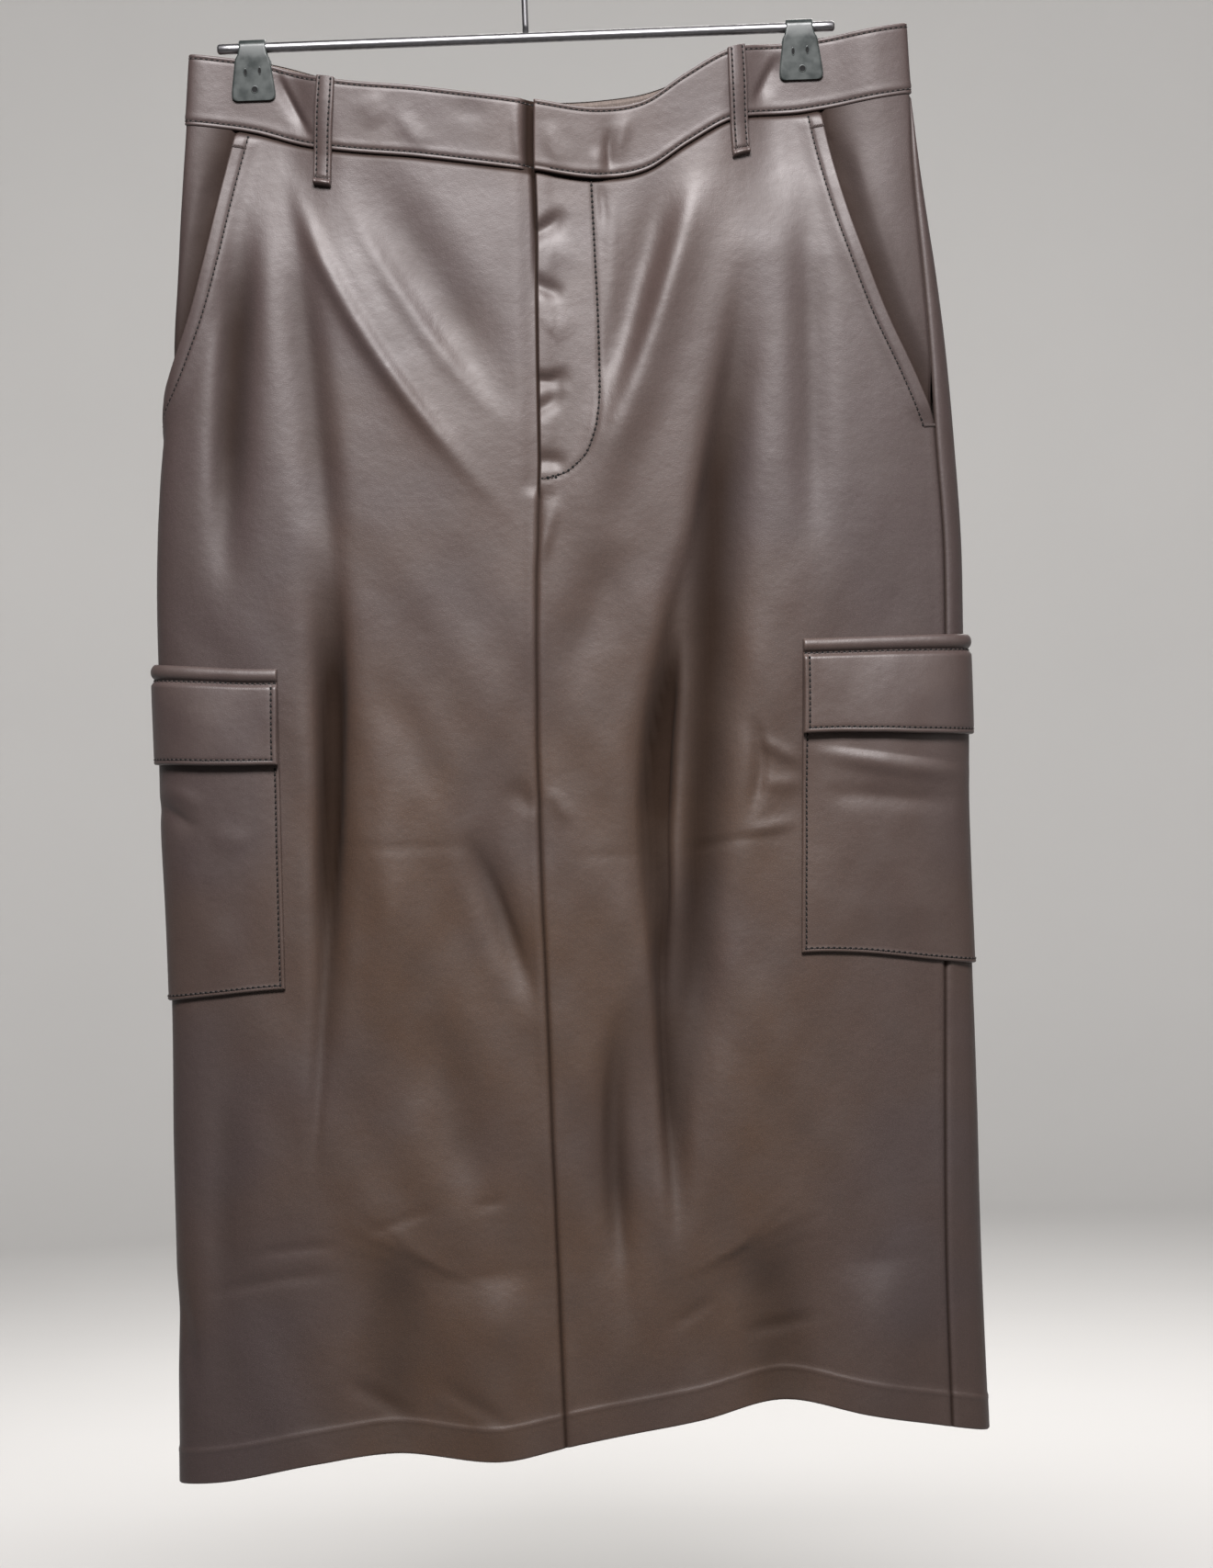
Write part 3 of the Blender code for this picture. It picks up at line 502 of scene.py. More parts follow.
def read(table, column, at):
    """Read one column of a table, smoothly between its rows."""
    keys = np.array([row[0] for row in table])
    values = np.array([getattr(row, column) for row in table])
    order = np.argsort(keys)
    keys, values = keys[order], values[order]
    slopes = np.gradient(values, keys)
    at = np.clip(at, keys[0], keys[-1])
    i = np.clip(np.searchsorted(keys, at) - 1, 0, len(keys) - 2)
    span = keys[i + 1] - keys[i]
    u = (at - keys[i]) / span
    rise = values[i] * (1 + 2 * u) * (1 - u) ** 2 + values[i + 1] * u * u * (3 - 2 * u)
    lean = slopes[i] * u * (1 - u) ** 2 - slopes[i + 1] * u * u * (1 - u)
    return rise + span * lean


def half_section():
    """Side, depth and way round of the half section, each from 0 or -1 to 1."""
    angle = np.linspace(-math.pi / 2, math.pi / 2, 721)
    side = np.sign(angle) * np.abs(np.sin(angle)) ** (2 / SQUARENESS)
    depth = np.abs(np.cos(angle)) ** (2 / SQUARENESS)
    steps = np.hypot(np.diff(side), FLATNESS * np.diff(depth))
    way = np.concatenate(([0.0], np.cumsum(steps)))
    return side, depth, way


SIDE, DEPTH, WAY = half_section()
WAY_LENGTH = WAY[-1]
WAY = WAY / WAY_LENGTH


def bend_of(fold):
    """Places along a fold's bend."""
    ends = np.array([[fold.top_x, fold.top_z], [fold.low_x, fold.low_z]])
    pull = 2 * np.array([fold.mid_x, fold.mid_z]) - ends.mean(axis=0)
    u = np.linspace(0.0, 1.0, 14)[:, None]
    return ends[0] * (1 - u) ** 2 + 2 * pull * u * (1 - u) + ends[1] * u * u


def beside_line(line, x, z):
    """Distance from a line, how far along it, and the side of it, at x and z."""
    nearest = np.full(x.shape, np.inf)
    along = np.zeros_like(x)
    side = np.zeros_like(x)
    parts = len(line) - 1
    for i in range(parts):
        run = line[i + 1] - line[i]
        away_x = x - line[i][0]
        away_z = z - line[i][1]
        u = np.clip((away_x * run[0] + away_z * run[1]) / run.dot(run), 0.0, 1.0)
        distance = np.hypot(away_x - u * run[0], away_z - u * run[1])
        closer = distance < nearest
        nearest[closer] = distance[closer]
        along[closer] = (i + u[closer]) / parts
        side[closer] = np.sign(run[0] * away_z - run[1] * away_x)[closer]
    return nearest, along, side


def folds_at(folds, x, z):
    """How far a set of folds pushes the cloth inward at x and z."""
    push = np.zeros_like(x)
    for fold in folds:
        line = bend_of(fold)
        room = 4.0 * fold.width
        low, high = line.min(axis=0) - room, line.max(axis=0) + room
        near = (x > low[0]) & (x < high[0]) & (z > low[1]) & (z < high[1])
        if not near.any():
            continue
        distance, along, side = beside_line(line, x[near], z[near])
        reach = fade(np.abs(along - 0.5), 0.1, 0.5)
        width = fold.width * (1 - fold.lean * side) * (1 - fold.taper * along)
        push[near] += fold.depth * reach * bump(distance, width)
    return push


def pressed(x, z):
    """How fully the clips press the front and the back together."""
    beside = np.minimum(np.abs(x - CLIP_X), np.abs(x + CLIP_X))
    below = np.maximum(CLIP_BOTTOM - 3.0 - z, 0.0)
    edge = CLIP_WIDTH / 2 + 2.0
    return fade(beside, edge, edge + 34.0 + 0.2 * below) * fade(below, 0.0, 110.0)


def ripples(x, z):
    """The faint unevenness of the cloth at x and z."""
    return sum(wave.reach * np.sin(math.tau * (x / wave.across + z / wave.down) + wave.start)
               for wave in RIPPLES)


def tilted(x, level, on_back):
    """How far the rows of the cargo pockets are shifted up. On the back the
    shift changes evenly from one side fold to the other."""
    keys = (TILT_END, POCKET_BOTTOM, FLAP_BOTTOM, FLAP_TOP, TILT_TOP)
    folds = (TILTS[0], TILTS[-1])
    shift = np.zeros_like(x)
    for place, column in enumerate(("pocket_bottom", "flap_bottom", "flap_top"), start=1):
        share = np.interp(level, keys, np.arange(len(keys)) == place)
        back = np.interp(x, [row.x for row in folds], [getattr(row, column) for row in folds])
        shift = shift + share * np.where(on_back, back, read(TILTS, column, x))
    return shift


def cloth(turn, level):
    """Places on the outer face of the skirt, as x, y and z."""
    lap = np.mod(turn, 4.0)
    on_back = lap > 2.0
    way = np.where(on_back, 4.0 - lap, lap) / 2
    side = np.interp(way, WAY, SIDE)
    blunt = np.interp(way, WAY, DEPTH)
    left = read(OUTLINE, "left", level)
    right = read(OUTLINE, "right", level)
    x = (left + right) / 2 + side * (right - left) / 2

    waist_x = WAIST[0].x + (side + 1) / 2 * (WAIST[-1].x - WAIST[0].x)
    hem_x = HEMLINE[0].x + (side + 1) / 2 * (HEMLINE[-1].x - HEMLINE[0].x)
    waist = np.where(on_back, read(WAIST, "back", waist_x), read(WAIST, "front", waist_x))
    hem = np.where(on_back, read(HEMLINE, "back", hem_x), read(HEMLINE, "front", hem_x))
    z = level + (waist - WAIST_SEAM) * fade(-level, -WAIST_SEAM, -FLAP_TOP + 25.0)
    z = z + (hem - HEM) * fade(level, HEM, POCKET_BOTTOM - 25.0) + tilted(x, level, on_back)

    half = np.where(on_back, read(OUTLINE, "back", level), read(OUTLINE, "front", level))
    out = half * blunt
    out = out - np.maximum(out - PRESSED, 0.0) * pressed(x, z)
    push = np.where(on_back, folds_at(BACK_FOLDS, x, z), folds_at(FRONT_FOLDS, x, z))
    push = push + ripples(x, z) * (0.75 * fade(z, -470.0, -360.0) + 0.25 * fade(z, -230.0, -170.0))
    out = out - push * blunt * (1.0 - pressed(x, z))
    return np.stack((x, np.where(on_back, out, -out), z), axis=-1)


def turn_length(level):
    """Millimetres round the skirt for one unit of turn."""
    width = read(OUTLINE, "right", level) - read(OUTLINE, "left", level)
    return width / 2 * WAY_LENGTH / 2


def turn_at(x, level, on_back=False):
    """The turn of a place given by its x."""
    left = read(OUTLINE, "left", level)
    right = read(OUTLINE, "right", level)
    side = (2 * x - left - right) / (right - left)
    way = 2 * np.interp(side, SIDE, WAY)
    return 4.0 - way if on_back else way


def centre_front(level):
    return turn_at(read(SEAMS, "centre_front", level), level)


def centre_back(level):
    return turn_at(read(SEAMS, "centre_back", level), level, on_back=True)


def beside_right(table, level):
    return 2.0 - read(table, "right", level) / turn_length(level)


def beside_left(table, level):
    return read(table, "left", level) / turn_length(level)


def front_edge_right(level):
    """The right front's outer edge: the slant, and the side seam below it."""
    return np.where(level > SLANT_END, beside_right(SLANTS, level), beside_right(SEAMS, level))


def front_edge_left(level):
    return np.where(level > SLANT_END, beside_left(SLANTS, level), beside_left(SEAMS, level))


# ---- Grids of points ----

def normals_of(points):
    """Outward normals of a grid of points, whose rows run down the skirt."""
    normal = np.cross(np.gradient(points, axis=1), -np.gradient(points, axis=0))
    return normal / np.linalg.norm(normal, axis=-1, keepdims=True)


class Grid:
    """Places on the cloth between two edges, given as turns at each level.
    "near" and "far" hold the millimetres from the edges, and the points
    between them are spread evenly. "hollow" is 1 deep in the folds, where
    it paints their shade into the colour. "outer" is the face of the piece."""

    def __init__(self, levels, first, last, near, far, step, creases=()):
        length = turn_length(levels)
        first = np.broadcast_to(first, levels.shape)
        self.levels = levels
        self.width = (last - first) * length
        between = int(round((self.width.max() - near[-1] - far[-1]) / step))
        share = np.linspace(0.0, 1.0, between + 1)[1:-1]
        parts = np.concatenate((np.zeros(len(near)), share, np.ones(len(far))))
        shift = np.concatenate((near, near[-1] * (1 - share) - far[-1] * share,
                                -np.array(far[::-1])))
        self.near = parts * self.width[:, None] + shift
        self.far = self.width[:, None] - self.near
        self.turns = first[:, None] + self.near / length[:, None]
        self.rows = np.broadcast_to(levels[:, None], self.turns.shape)
        base = cloth(self.turns, self.rows)
        push = folds_at(creases, base[..., 0], base[..., 2])
        folds = BACK_FOLDS if self.turns.mean() > 2.0 else FRONT_FOLDS
        depth = push + folds_at(folds, base[..., 0], base[..., 2])
        # Deep folds get painted shade: a mark that darkens the colour there.
        self.painted_shade = np.clip((depth - PAINTED_SHADE_START) / PAINTED_SHADE_SPAN, 0.0, 1.0)
        self.points = base - normals_of(base) * push[..., None]
        self.normals = normals_of(self.points)

    def raise_face(self, out):
        """Lay the face of the piece this far out from the cloth."""
        self.outer = self.points + self.normals * out[..., None]

    def width_at(self, level):
        return float(np.interp(-level, -self.levels, self.width))


def spaced(length, step, places=EDGE_PLACES):
    """Distances from 0 to a length, close together at both ends."""
    inner = places[-1]
    count = max(int(round((length - 2 * inner) / step)), 1)
    middle = np.linspace(inner, length - inner, count + 1)[1:-1]
    return np.concatenate((places, middle, length - np.array(places[::-1])))


def rounded(distance, radius):
    """How far an edge drops away, as a quarter circle of this radius."""
    inside = np.clip(1.0 - distance / radius, 0.0, 1.0)
    return radius * (1.0 - np.sqrt(1.0 - inside * inside))


# ---- Materials ----

class Finish:
    """A material. Each method adds a node and gives back its output."""

    def __init__(self, name, roughness, metallic=0.0):
        self.made = bpy.data.materials.new(name)
        self.made.use_nodes = True
        self.tree = self.made.node_tree
        self.set(Roughness=roughness, Metallic=metallic)
        self.place = self.add("ShaderNodeTexCoord").outputs["Object"]

    def fill(self, node, inputs):
        """Set or link the inputs of a node."""
        for key, value in inputs.items():
            if isinstance(value, bpy.types.NodeSocket):
                self.tree.links.new(value, node.inputs[key])
            else:
                node.inputs[key].default_value = value
        return node

    def set(self, **inputs):
        shader = self.tree.nodes["Principled BSDF"]
        self.fill(shader, {key.replace("_", " "): value for key, value in inputs.items()})

    def add(self, kind, inputs=None, **settings):
        node = self.tree.nodes.new(kind)
        for key, value in settings.items():
            setattr(node, key, value)
        return self.fill(node, inputs or {})

    def mix(self, factor, first, second):
        """A mix of two colours."""
        first, second = (value if isinstance(value, bpy.types.NodeSocket) else (*value, 1.0)
                         for value in (first, second))
        inputs = {0: factor, 6: first, 7: second}
        return self.add("ShaderNodeMix", inputs, data_type="RGBA").outputs[2]

    def span(self, value, low, high, to_low, to_high):
        """A number brought from one range to another."""
        inputs = {"Value": value, "From Min": low, "From Max": high,
                  "To Min": to_low, "To Max": to_high}
        return self.add("ShaderNodeMapRange", inputs, clamp=True).outputs["Result"]

    def maths(self, operation, first, second):
        return self.add("ShaderNodeMath", {0: first, 1: second}, operation=operation).outputs[0]

    def noise(self, scale, detail):
        inputs = {"Vector": self.place, "Scale": scale, "Detail": detail}
        return self.add("ShaderNodeTexNoise", inputs).outputs["Fac"]

    def wave(self, scale, distortion, detail, **settings):
        inputs = {"Vector": self.place, "Scale": scale, "Distortion": distortion,
                  "Detail": detail}
        return self.add("ShaderNodeTexWave", inputs, **settings).outputs["Fac"]

    def relief(self, height, distance, strength, **normal):
        inputs = {"Height": height, "Distance": distance, "Strength": strength, **normal}
        return self.add("ShaderNodeBump", inputs).outputs["Normal"]

    def mark(self, name):
        """A number that the points of the mesh carry."""
        return self.add("ShaderNodeAttribute", attribute_name=name).outputs["Fac"]

    def apart(self):
        return self.add("ShaderNodeSeparateXYZ", {"Vector": self.place}).outputs


def cloth_material():
    """Coated cloth with a satin face: fine pebbled grain, soft unevenness,
    colour that drifts from a grey mauve to a warmer brown and turns greyer
    towards the top as a painted sheen, polished edges, and painted shade in
    the folds, seams and gaps that darkens their colour and dims their
    reflection."""
    face = Finish("coated_cloth_face", 0.4)
    patches = face.noise(34.0, 4.0)
    # Painted sheen: the colour turns a greyer mauve towards the top, where the light from above
    # falls. It also turns mauve towards the sides and in random patches.
    up = face.span(face.apart()["Z"], -0.6, -0.3, 0.0, 0.8)
    aside = face.maths("ABSOLUTE", face.apart()["X"], 0.0)
    aside = face.span(aside, 0.12, 0.2, 0.0, 0.6)
    mauve = face.maths("ADD", face.span(face.noise(7.0, 2.0), 0.46, 0.66, 0.0, 0.5), up)
    mauve = face.maths("MINIMUM", face.maths("ADD", mauve, aside), 1.0)
    colour = face.mix(mauve, (0.082, 0.045, 0.027), (0.066, 0.045, 0.043))
    colour = face.mix(face.span(patches, 0.35, 0.7, 0.0, 0.3), colour, (0.046, 0.027, 0.02))
    cells = face.add("ShaderNodeTexVoronoi", {"Vector": face.place, "Scale": 900.0},
                     feature="DISTANCE_TO_EDGE").outputs["Distance"]
    valley = face.maths("MULTIPLY", face.span(cells, 0.0, 0.25, 1.0, 0.0), 0.35)
    colour = face.mix(valley, colour, (0.02, 0.013, 0.01))
    worn = face.mark("worn")
    rubbed = face.maths("MULTIPLY", worn, face.span(patches, 0.3, 0.7, 0.08, 0.32))
    colour = face.mix(rubbed, colour, (0.15, 0.112, 0.1))
    # Painted shade: where this mark is set, in folds, seams, gaps and under the band, the colour
    # goes towards near black.
    painted_shade = face.mark("painted_shade")
    colour = face.mix(face.maths("MULTIPLY", painted_shade, 0.85), colour, (0.012, 0.007, 0.005))

    gloss = face.span(patches, 0.3, 0.7, 0.49, 0.57)
    gloss = face.maths("SUBTRACT", gloss, face.maths("MULTIPLY", worn, 0.05))
    gloss = face.maths("ADD", gloss, face.maths("MULTIPLY", painted_shade, 0.25))
    ripple = face.relief(face.noise(42.0, 3.0), 0.0011, 0.5)
    crinkle = face.relief(face.noise(260.0, 3.0), 0.0002, 0.5, Normal=ripple)
    # The specular tint is dimmed by the same mark: painted shade in the reflection.
    face.set(Base_Color=colour, Roughness=gloss, Specular_IOR_Level=0.8,
             Specular_Tint=face.mix(painted_shade, (1.0, 1.0, 1.0), (0.2, 0.15, 0.12)),
             Sheen_Weight=0.02, Sheen_Roughness=0.45, Sheen_Tint=(0.9, 0.82, 0.8, 1.0),
             Normal=face.relief(cells, 0.00014, 0.45, Normal=crinkle))
    return face.made


def backing_material():
    """The knitted reverse of the coated cloth."""
    back = Finish("coated_cloth_back", 0.85)
    fine = back.noise(900.0, 2.0)
    colour = back.mix(back.noise(22.0, 3.0), (0.135, 0.108, 0.094), (0.185, 0.15, 0.132))
    colour = back.mix(back.span(fine, 0.4, 0.65, 0.0, 0.5), colour, (0.09, 0.07, 0.06))
    knit = back.relief(back.wave(190.0, 1.5, 2.0), 0.0003, 0.4)
    back.set(Base_Color=colour, Sheen_Weight=0.3,
             Normal=back.relief(fine, 0.0003, 0.4, Normal=knit))
    return back.made


def thread_material():
    """Twisted sewing thread, in the colour of the cloth."""
    thread = Finish("thread", 0.55)
    fibres = thread.noise(1500.0, 2.0)
    twist = thread.wave(900.0, 0.5, 2.0, bands_direction="DIAGONAL")
    thread.set(Base_Color=thread.mix(fibres, (0.036, 0.026, 0.024), (0.075, 0.055, 0.05)),
               Normal=thread.relief(twist, 0.0002, 0.6))
    return thread.made


def plate_material():
    """Dark green-grey plates of the clips, faintly mottled, edges rubbed."""
    plate = Finish("clip_plate_face", 0.36, 0.15)
    mottle = plate.noise(120.0, 4.0)
    colour = plate.mix(plate.span(mottle, 0.35, 0.65, 0.0, 1.0),
                       (0.022, 0.028, 0.027), (0.042, 0.05, 0.048))
    rubbed = plate.maths("MULTIPLY", plate.mark("worn"), 0.5)
    plate.set(Base_Color=plate.mix(rubbed, colour, (0.13, 0.15, 0.145)),
              Roughness=plate.span(mottle, 0.3, 0.7, 0.3, 0.46),
              Normal=plate.relief(mottle, 0.0002, 0.25))
    return plate.made


def steel_material():
    """Plated steel wire with small marks."""
    steel = Finish("hanger_steel_face", 0.25, 1.0)
    marks = steel.noise(300.0, 4.0)
    steel.set(Base_Color=steel.mix(steel.span(marks, 0.4, 0.7, 0.0, 1.0),
                                   (0.3, 0.3, 0.31), (0.22, 0.22, 0.23)),
              Roughness=steel.span(marks, 0.35, 0.7, 0.34, 0.46))
    return steel.made


def hole_shade_material():
    """Near-black colour of small holes in the cloth and the clips: painted shade of their insides.
    """
    hole = Finish("small_hole_shade", 0.7)
    hole_shade_colour = hole.mix(hole.noise(800.0, 2.0), (0.006, 0.007, 0.007), (0.02, 0.02, 0.02))
    hole.set(Base_Color=hole_shade_colour, Specular_IOR_Level=0.1)
    return hole.made


FACE = cloth_material()
BACKING = backing_material()
THREAD = thread_material()
PLATE = plate_material()
STEEL = steel_material()
HOLE_SHADE = hole_shade_material()


# ---- Meshes ----

def add_piece(name, points, faces, materials, slot, slots=None, **marks):
    """Make one object of the scene from points in millimetres. The marks are
    one number a point for the materials to read."""
    mesh = bpy.data.meshes.new(name)
    mesh.from_pydata((np.asarray(points) * MM).tolist(), [], faces)
    for made in materials:
        mesh.materials.append(made)
    if slots is not None:
        mesh.polygons.foreach_set("material_index", slots)
    for mark, values in marks.items():
        layer = mesh.attributes.new(mark, "FLOAT", "POINT")
        layer.data.foreach_set("value", np.asarray(values, dtype=np.float32))
    mesh.shade_smooth()
    made = bpy.data.objects.new(name, mesh)
    bpy.context.collection.objects.link(made)
    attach(made, BODY)
    return made


def ring_points(centre, first, second, sides):
    """A ring of points round a centre, given its two half axes."""
    return [np.array(centre) + np.array(first) * math.cos(angle) + np.array(second) * math.sin(angle)
            for angle in np.arange(sides) * math.tau / sides]


def ring_faces(rings, sides, start=0):
    """The faces between rings of points."""
    faces = []
    for first in range(start, start + (rings - 1) * sides, sides):
        for side in range(sides):
            a, b = first + side, first + (side + 1) % sides
            faces.append((a, b, b + sides, a + sides))
    return faces


def closed_faces(rings, sides, start=0):
    """The faces between rings of points, and of the first and last ring."""
    last = start + (rings - 1) * sides
    return ring_faces(rings, sides, start) + [tuple(range(start, start + sides))[::-1],
                                              tuple(range(last, last + sides))]


def sheet_faces(grid):
    """The faces of both sides of a sheet, and the points of its rim."""
    rows, columns = grid.shape[:2]
    cell = np.arange(rows * columns).reshape(rows, columns)
    a, b = cell[:-1, :-1].ravel(), cell[:-1, 1:].ravel()
    c, d = cell[1:, 1:].ravel(), cell[1:, :-1].ravel()
    rim = np.concatenate((cell[0, :-1], cell[:-1, -1], cell[-1, :0:-1], cell[:0:-1, 0]))
    return np.stack((a, d, c, b), axis=1), np.stack((a, b, c, d), axis=1) + cell.size, rim


def add_shell(name, outer, inner, worn, painted_shade):
    """A closed thin shell between two grids, with a rounded rim."""
    rows, columns = outer.shape[:2]
    count = rows * columns
    face, back, rim = sheet_faces(outer)
    edge_r, edge_c = np.divmod(rim, columns)
    next_r, next_c = np.clip(edge_r, 1, rows - 2), np.clip(edge_c, 1, columns - 2)
    over, under = outer[edge_r, edge_c], inner[edge_r, edge_c]
    away = over - outer[next_r, next_c]
    away /= np.linalg.norm(away, axis=1, keepdims=True) + 1e-9
    thick = np.linalg.norm(over - under, axis=1)
    middle = (over + under) / 2 + away * thick[:, None] * RIM_SWELL

    ring = 2 * count + np.arange(len(rim))
    rim_next, ring_next = np.roll(rim, -1), np.roll(ring, -1)
    upper = np.stack((rim, rim_next, ring_next, ring), axis=1)
    lower = np.stack((ring, ring_next, rim_next + count, rim + count), axis=1)
    faces = np.concatenate((face, back, upper, lower))
    slots = np.zeros(len(faces), dtype=np.int32)
    slots[len(face):len(face) + len(back)] = 1
    points = np.concatenate((outer.reshape(-1, 3), inner.reshape(-1, 3), middle))
    marks = {}
    # The face carries two marks: wear on rubbed edges, and painted shade.
    for mark, values in (("worn", worn), ("painted_shade", painted_shade)):
        values = np.broadcast_to(values, outer.shape[:2]).ravel()
        marks[mark] = np.concatenate((values, np.zeros(count), values[rim]))
    return add_piece(name, points, faces.tolist(), (FACE, BACKING), "coated_cloth",
                     slots, **marks)


def add_plate(name, outer, inner):
    """A closed plate between two grids, with its edges marked as rubbed."""
    face, back, rim = sheet_faces(outer)
    count = outer.shape[0] * outer.shape[1]
    following = np.roll(rim, -1)
    sides = np.stack((rim, rim + count, following + count, following), axis=1)
    worn = np.zeros(2 * count)
    worn[rim] = 1.0
    points = np.concatenate((outer.reshape(-1, 3), inner.reshape(-1, 3)))
    faces = np.concatenate((back - count, face + count, sides))
    return add_piece(name, points, faces.tolist(), (PLATE,), "clip_plate", worn=worn)


def add_cloth(name, grid, thick, worn=0.0, painted_shade=0.0, paths=(), turned=0.0,
              thread=STITCH_RADIUS):
    """Make the shell and the stitches of a piece, and hide the model's node
    that it stands for. Its length, width and area are worked out but not used."""
    inner = grid.outer - grid.normals * np.asarray(thick)[..., None]
    piece = add_shell(name + "_cloth", grid.outer, inner, worn, painted_shade)
    sewing = [add_stitches(name + "_stitches", paths, thread)] if paths else []
    length = abs(grid.levels[0] - grid.levels[-1]) + turned
    width = float(grid.width.max())
    area = float((grid.width * np.abs(np.gradient(grid.levels))).sum()) + turned * width
    area = min(area, width * length)
    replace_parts(piece, name)


# ---- Sewing ----

def path_on(grid, places):
    """Points and normals of a piece's face at places, each a level and the
    millimetres from the first edge."""
    points, normals = [], []
    for level, near in places:
        row = np.interp(-level, -grid.levels, np.arange(len(grid.levels)))
        r = min(int(row), len(grid.levels) - 2)
        down = row - r
        across = grid.near[r] * (1 - down) + grid.near[r + 1] * down
        column = np.interp(near, across, np.arange(len(across)))
        c = min(int(column), len(across) - 2)
        over = column - c
        for found, values in ((points, grid.outer), (normals, grid.normals)):
            upper = values[r, c] * (1 - over) + values[r, c + 1] * over
            lower = values[r + 1, c] * (1 - over) + values[r + 1, c + 1] * over
            found.append(upper * (1 - down) + lower * down)
    return np.array(points), np.array(normals)


def across_path(grid, level, start, end):
    """A path along one level, between distances from the two edges."""
    reach = grid.width_at(level) - start - end
    parts = np.linspace(0.0, 1.0, max(int(reach), 2))
    return path_on(grid, [(level, start + reach * part) for part in parts])


def down_path(grid, near, top, low, from_far=False):
    """A path down a piece at a fixed distance from one of its edges."""
    levels = np.linspace(top, low, max(int(top - low), 2))
    return path_on(grid, [(level, grid.width_at(level) - near if from_far else near)
                          for level in levels])


def bar_tack(grid, level, near, reach):
    """A dense little row of upright stitches across a piece."""
    places = np.linspace(near, near + reach, int(reach / TACK_PITCH) + 1)
    return [path_on(grid, [(level + 1.0, place), (level - 1.0, place)]) for place in places]


def path_near(grid, line):
    """The points and normals of a piece's face nearest to a line in the
    picture's plane."""
    every = grid.outer.reshape(-1, 3)
    ways = grid.normals.reshape(-1, 3)
    flat = every[:, (0, 2)]
    points, normals = [], []
    for spot in line:
        square = ((flat - spot) ** 2).sum(axis=1)
        close = np.argpartition(square, 4)[:4]
        weight = 1.0 / (square[close] + 0.01)
        weight /= weight.sum()
        points.append((spot[0], every[close, 1].dot(weight), spot[1]))
        normals.append(weight.dot(ways[close]))
    return np.array(points), np.array(normals)


def stitch(spot, along, normal, radius, start):
    """Points and faces of one stitch, which dips into the cloth at both ends."""
    points = []
    for part, girth, rise in CAPSULE:
        centre = spot + along * part * STITCH_LENGTH + normal * rise * radius * 2
        points += ring_points(centre, np.cross(along, normal) * radius * girth,
                              normal * radius * girth, CAPSULE_SIDES)
    return points, closed_faces(len(CAPSULE), CAPSULE_SIDES, start)


def needle_hole(spot, along, normal, start):
    """Points and faces of the dark mark where the thread goes in: painted shade of the needle hole.
    """
    points = [spot + normal * NEEDLE_HOLE[0][1]]
    for girth, rise in NEEDLE_HOLE[1:-1]:
        points += ring_points(spot + normal * rise, along * 1.15 * girth,
                              np.cross(along, normal) * girth, CAPSULE_SIDES)
    points.append(spot + normal * NEEDLE_HOLE[-1][1])
    faces = []
    for place in range(CAPSULE_SIDES):
        low, low_next = start + 1 + place, start + 1 + (place + 1) % CAPSULE_SIDES
        high, high_next = low + CAPSULE_SIDES, low_next + CAPSULE_SIDES
        faces += [(start, low, low_next), (low, high, high_next, low_next),
                  (high, start + 1 + 2 * CAPSULE_SIDES, high_next)]
    return points, faces


def add_stitches(name, paths, radius):
    """Rows of stitches along paths of points and normals, as one piece, with
    a dark needle hole, painted shade, between one stitch and the next."""
    points, faces, slots = [], [], []
    for line, normals in paths:
        steps = np.linalg.norm(np.diff(line, axis=0), axis=1)
        way = np.concatenate(([0.0], np.cumsum(steps)))

        def at(values, place):
            return np.array([np.interp(place, way, column) for column in values.T])

        count = max(int(way[-1] / STITCH_PITCH), 1)
        for half in (range(2 * count + 1) if count > 1 else (1,)):
            place = half / 2 * way[-1] / count
            along = at(line, place + 1.0) - at(line, place - 1.0)
            along /= np.linalg.norm(along)
            normal = at(normals, place)
            normal -= along * normal.dot(along)
            normal /= np.linalg.norm(normal)
            if half % 2:
                more, sides = stitch(at(line, place), along, normal, radius, len(points))
            else:
                more, sides = needle_hole(at(line, place), along, normal, len(points))
            points += more
            faces += sides
            slots += [1 - half % 2] * len(sides)
    return add_piece(name, points, faces, (THREAD, HOLE_SHADE), "coated_cloth", slots)


# ---- Panels ----

def panel_levels(step):
    """Levels of a panel, close together at the waist, the fly's end and the hem."""
    return np.concatenate((
        (TUCK_TOP, -144.0, -144.8, -145.5, -146.3, -147.4),
        np.linspace(-149.0, HEM_STITCH + 3.0, int((HEM_STITCH + 152.0) / -step))[:-1],
        HEM_STITCH + np.array((3.0, 2.0, 1.2, 0.6, 0.0, -0.6, -1.2, -2.0, -3.0)),
        np.linspace(HEM_STITCH - 5.0, HEM + 2.0, 7),
        HEM + np.array((1.2, 0.6, 0.2, 0.0)),
    ))


def panel_form(grid):
    """What all panels have: the top tucked under the band, and the hem."""
    tuck = 1.3 * fade(grid.rows, WAIST_SEAM - 2.6, WAIST_SEAM + 0.2) - 1.3
    ridge = 0.55 * bump(grid.rows - HEM_STITCH - 0.6, 1.4)
    turned = 0.35 * fade(grid.rows, HEM_STITCH - 1.0, HEM_STITCH + 0.5)
    return tuck + ridge + turned - rounded(grid.rows - HEM, 1.2)


def panel_painted_shade(grid):
    """Painted shade of a panel: in its folds, along its seams, and in the strip under the band."""
    seam = fade(np.minimum(grid.near, grid.far), 0.3, 1.4)
    shadow_under_band = fade(WAIST_SEAM - grid.rows, 0.6, 4.0)
    return np.clip(grid.painted_shade + 0.8 * seam + 0.9 * shadow_under_band, 0.0, 1.0)


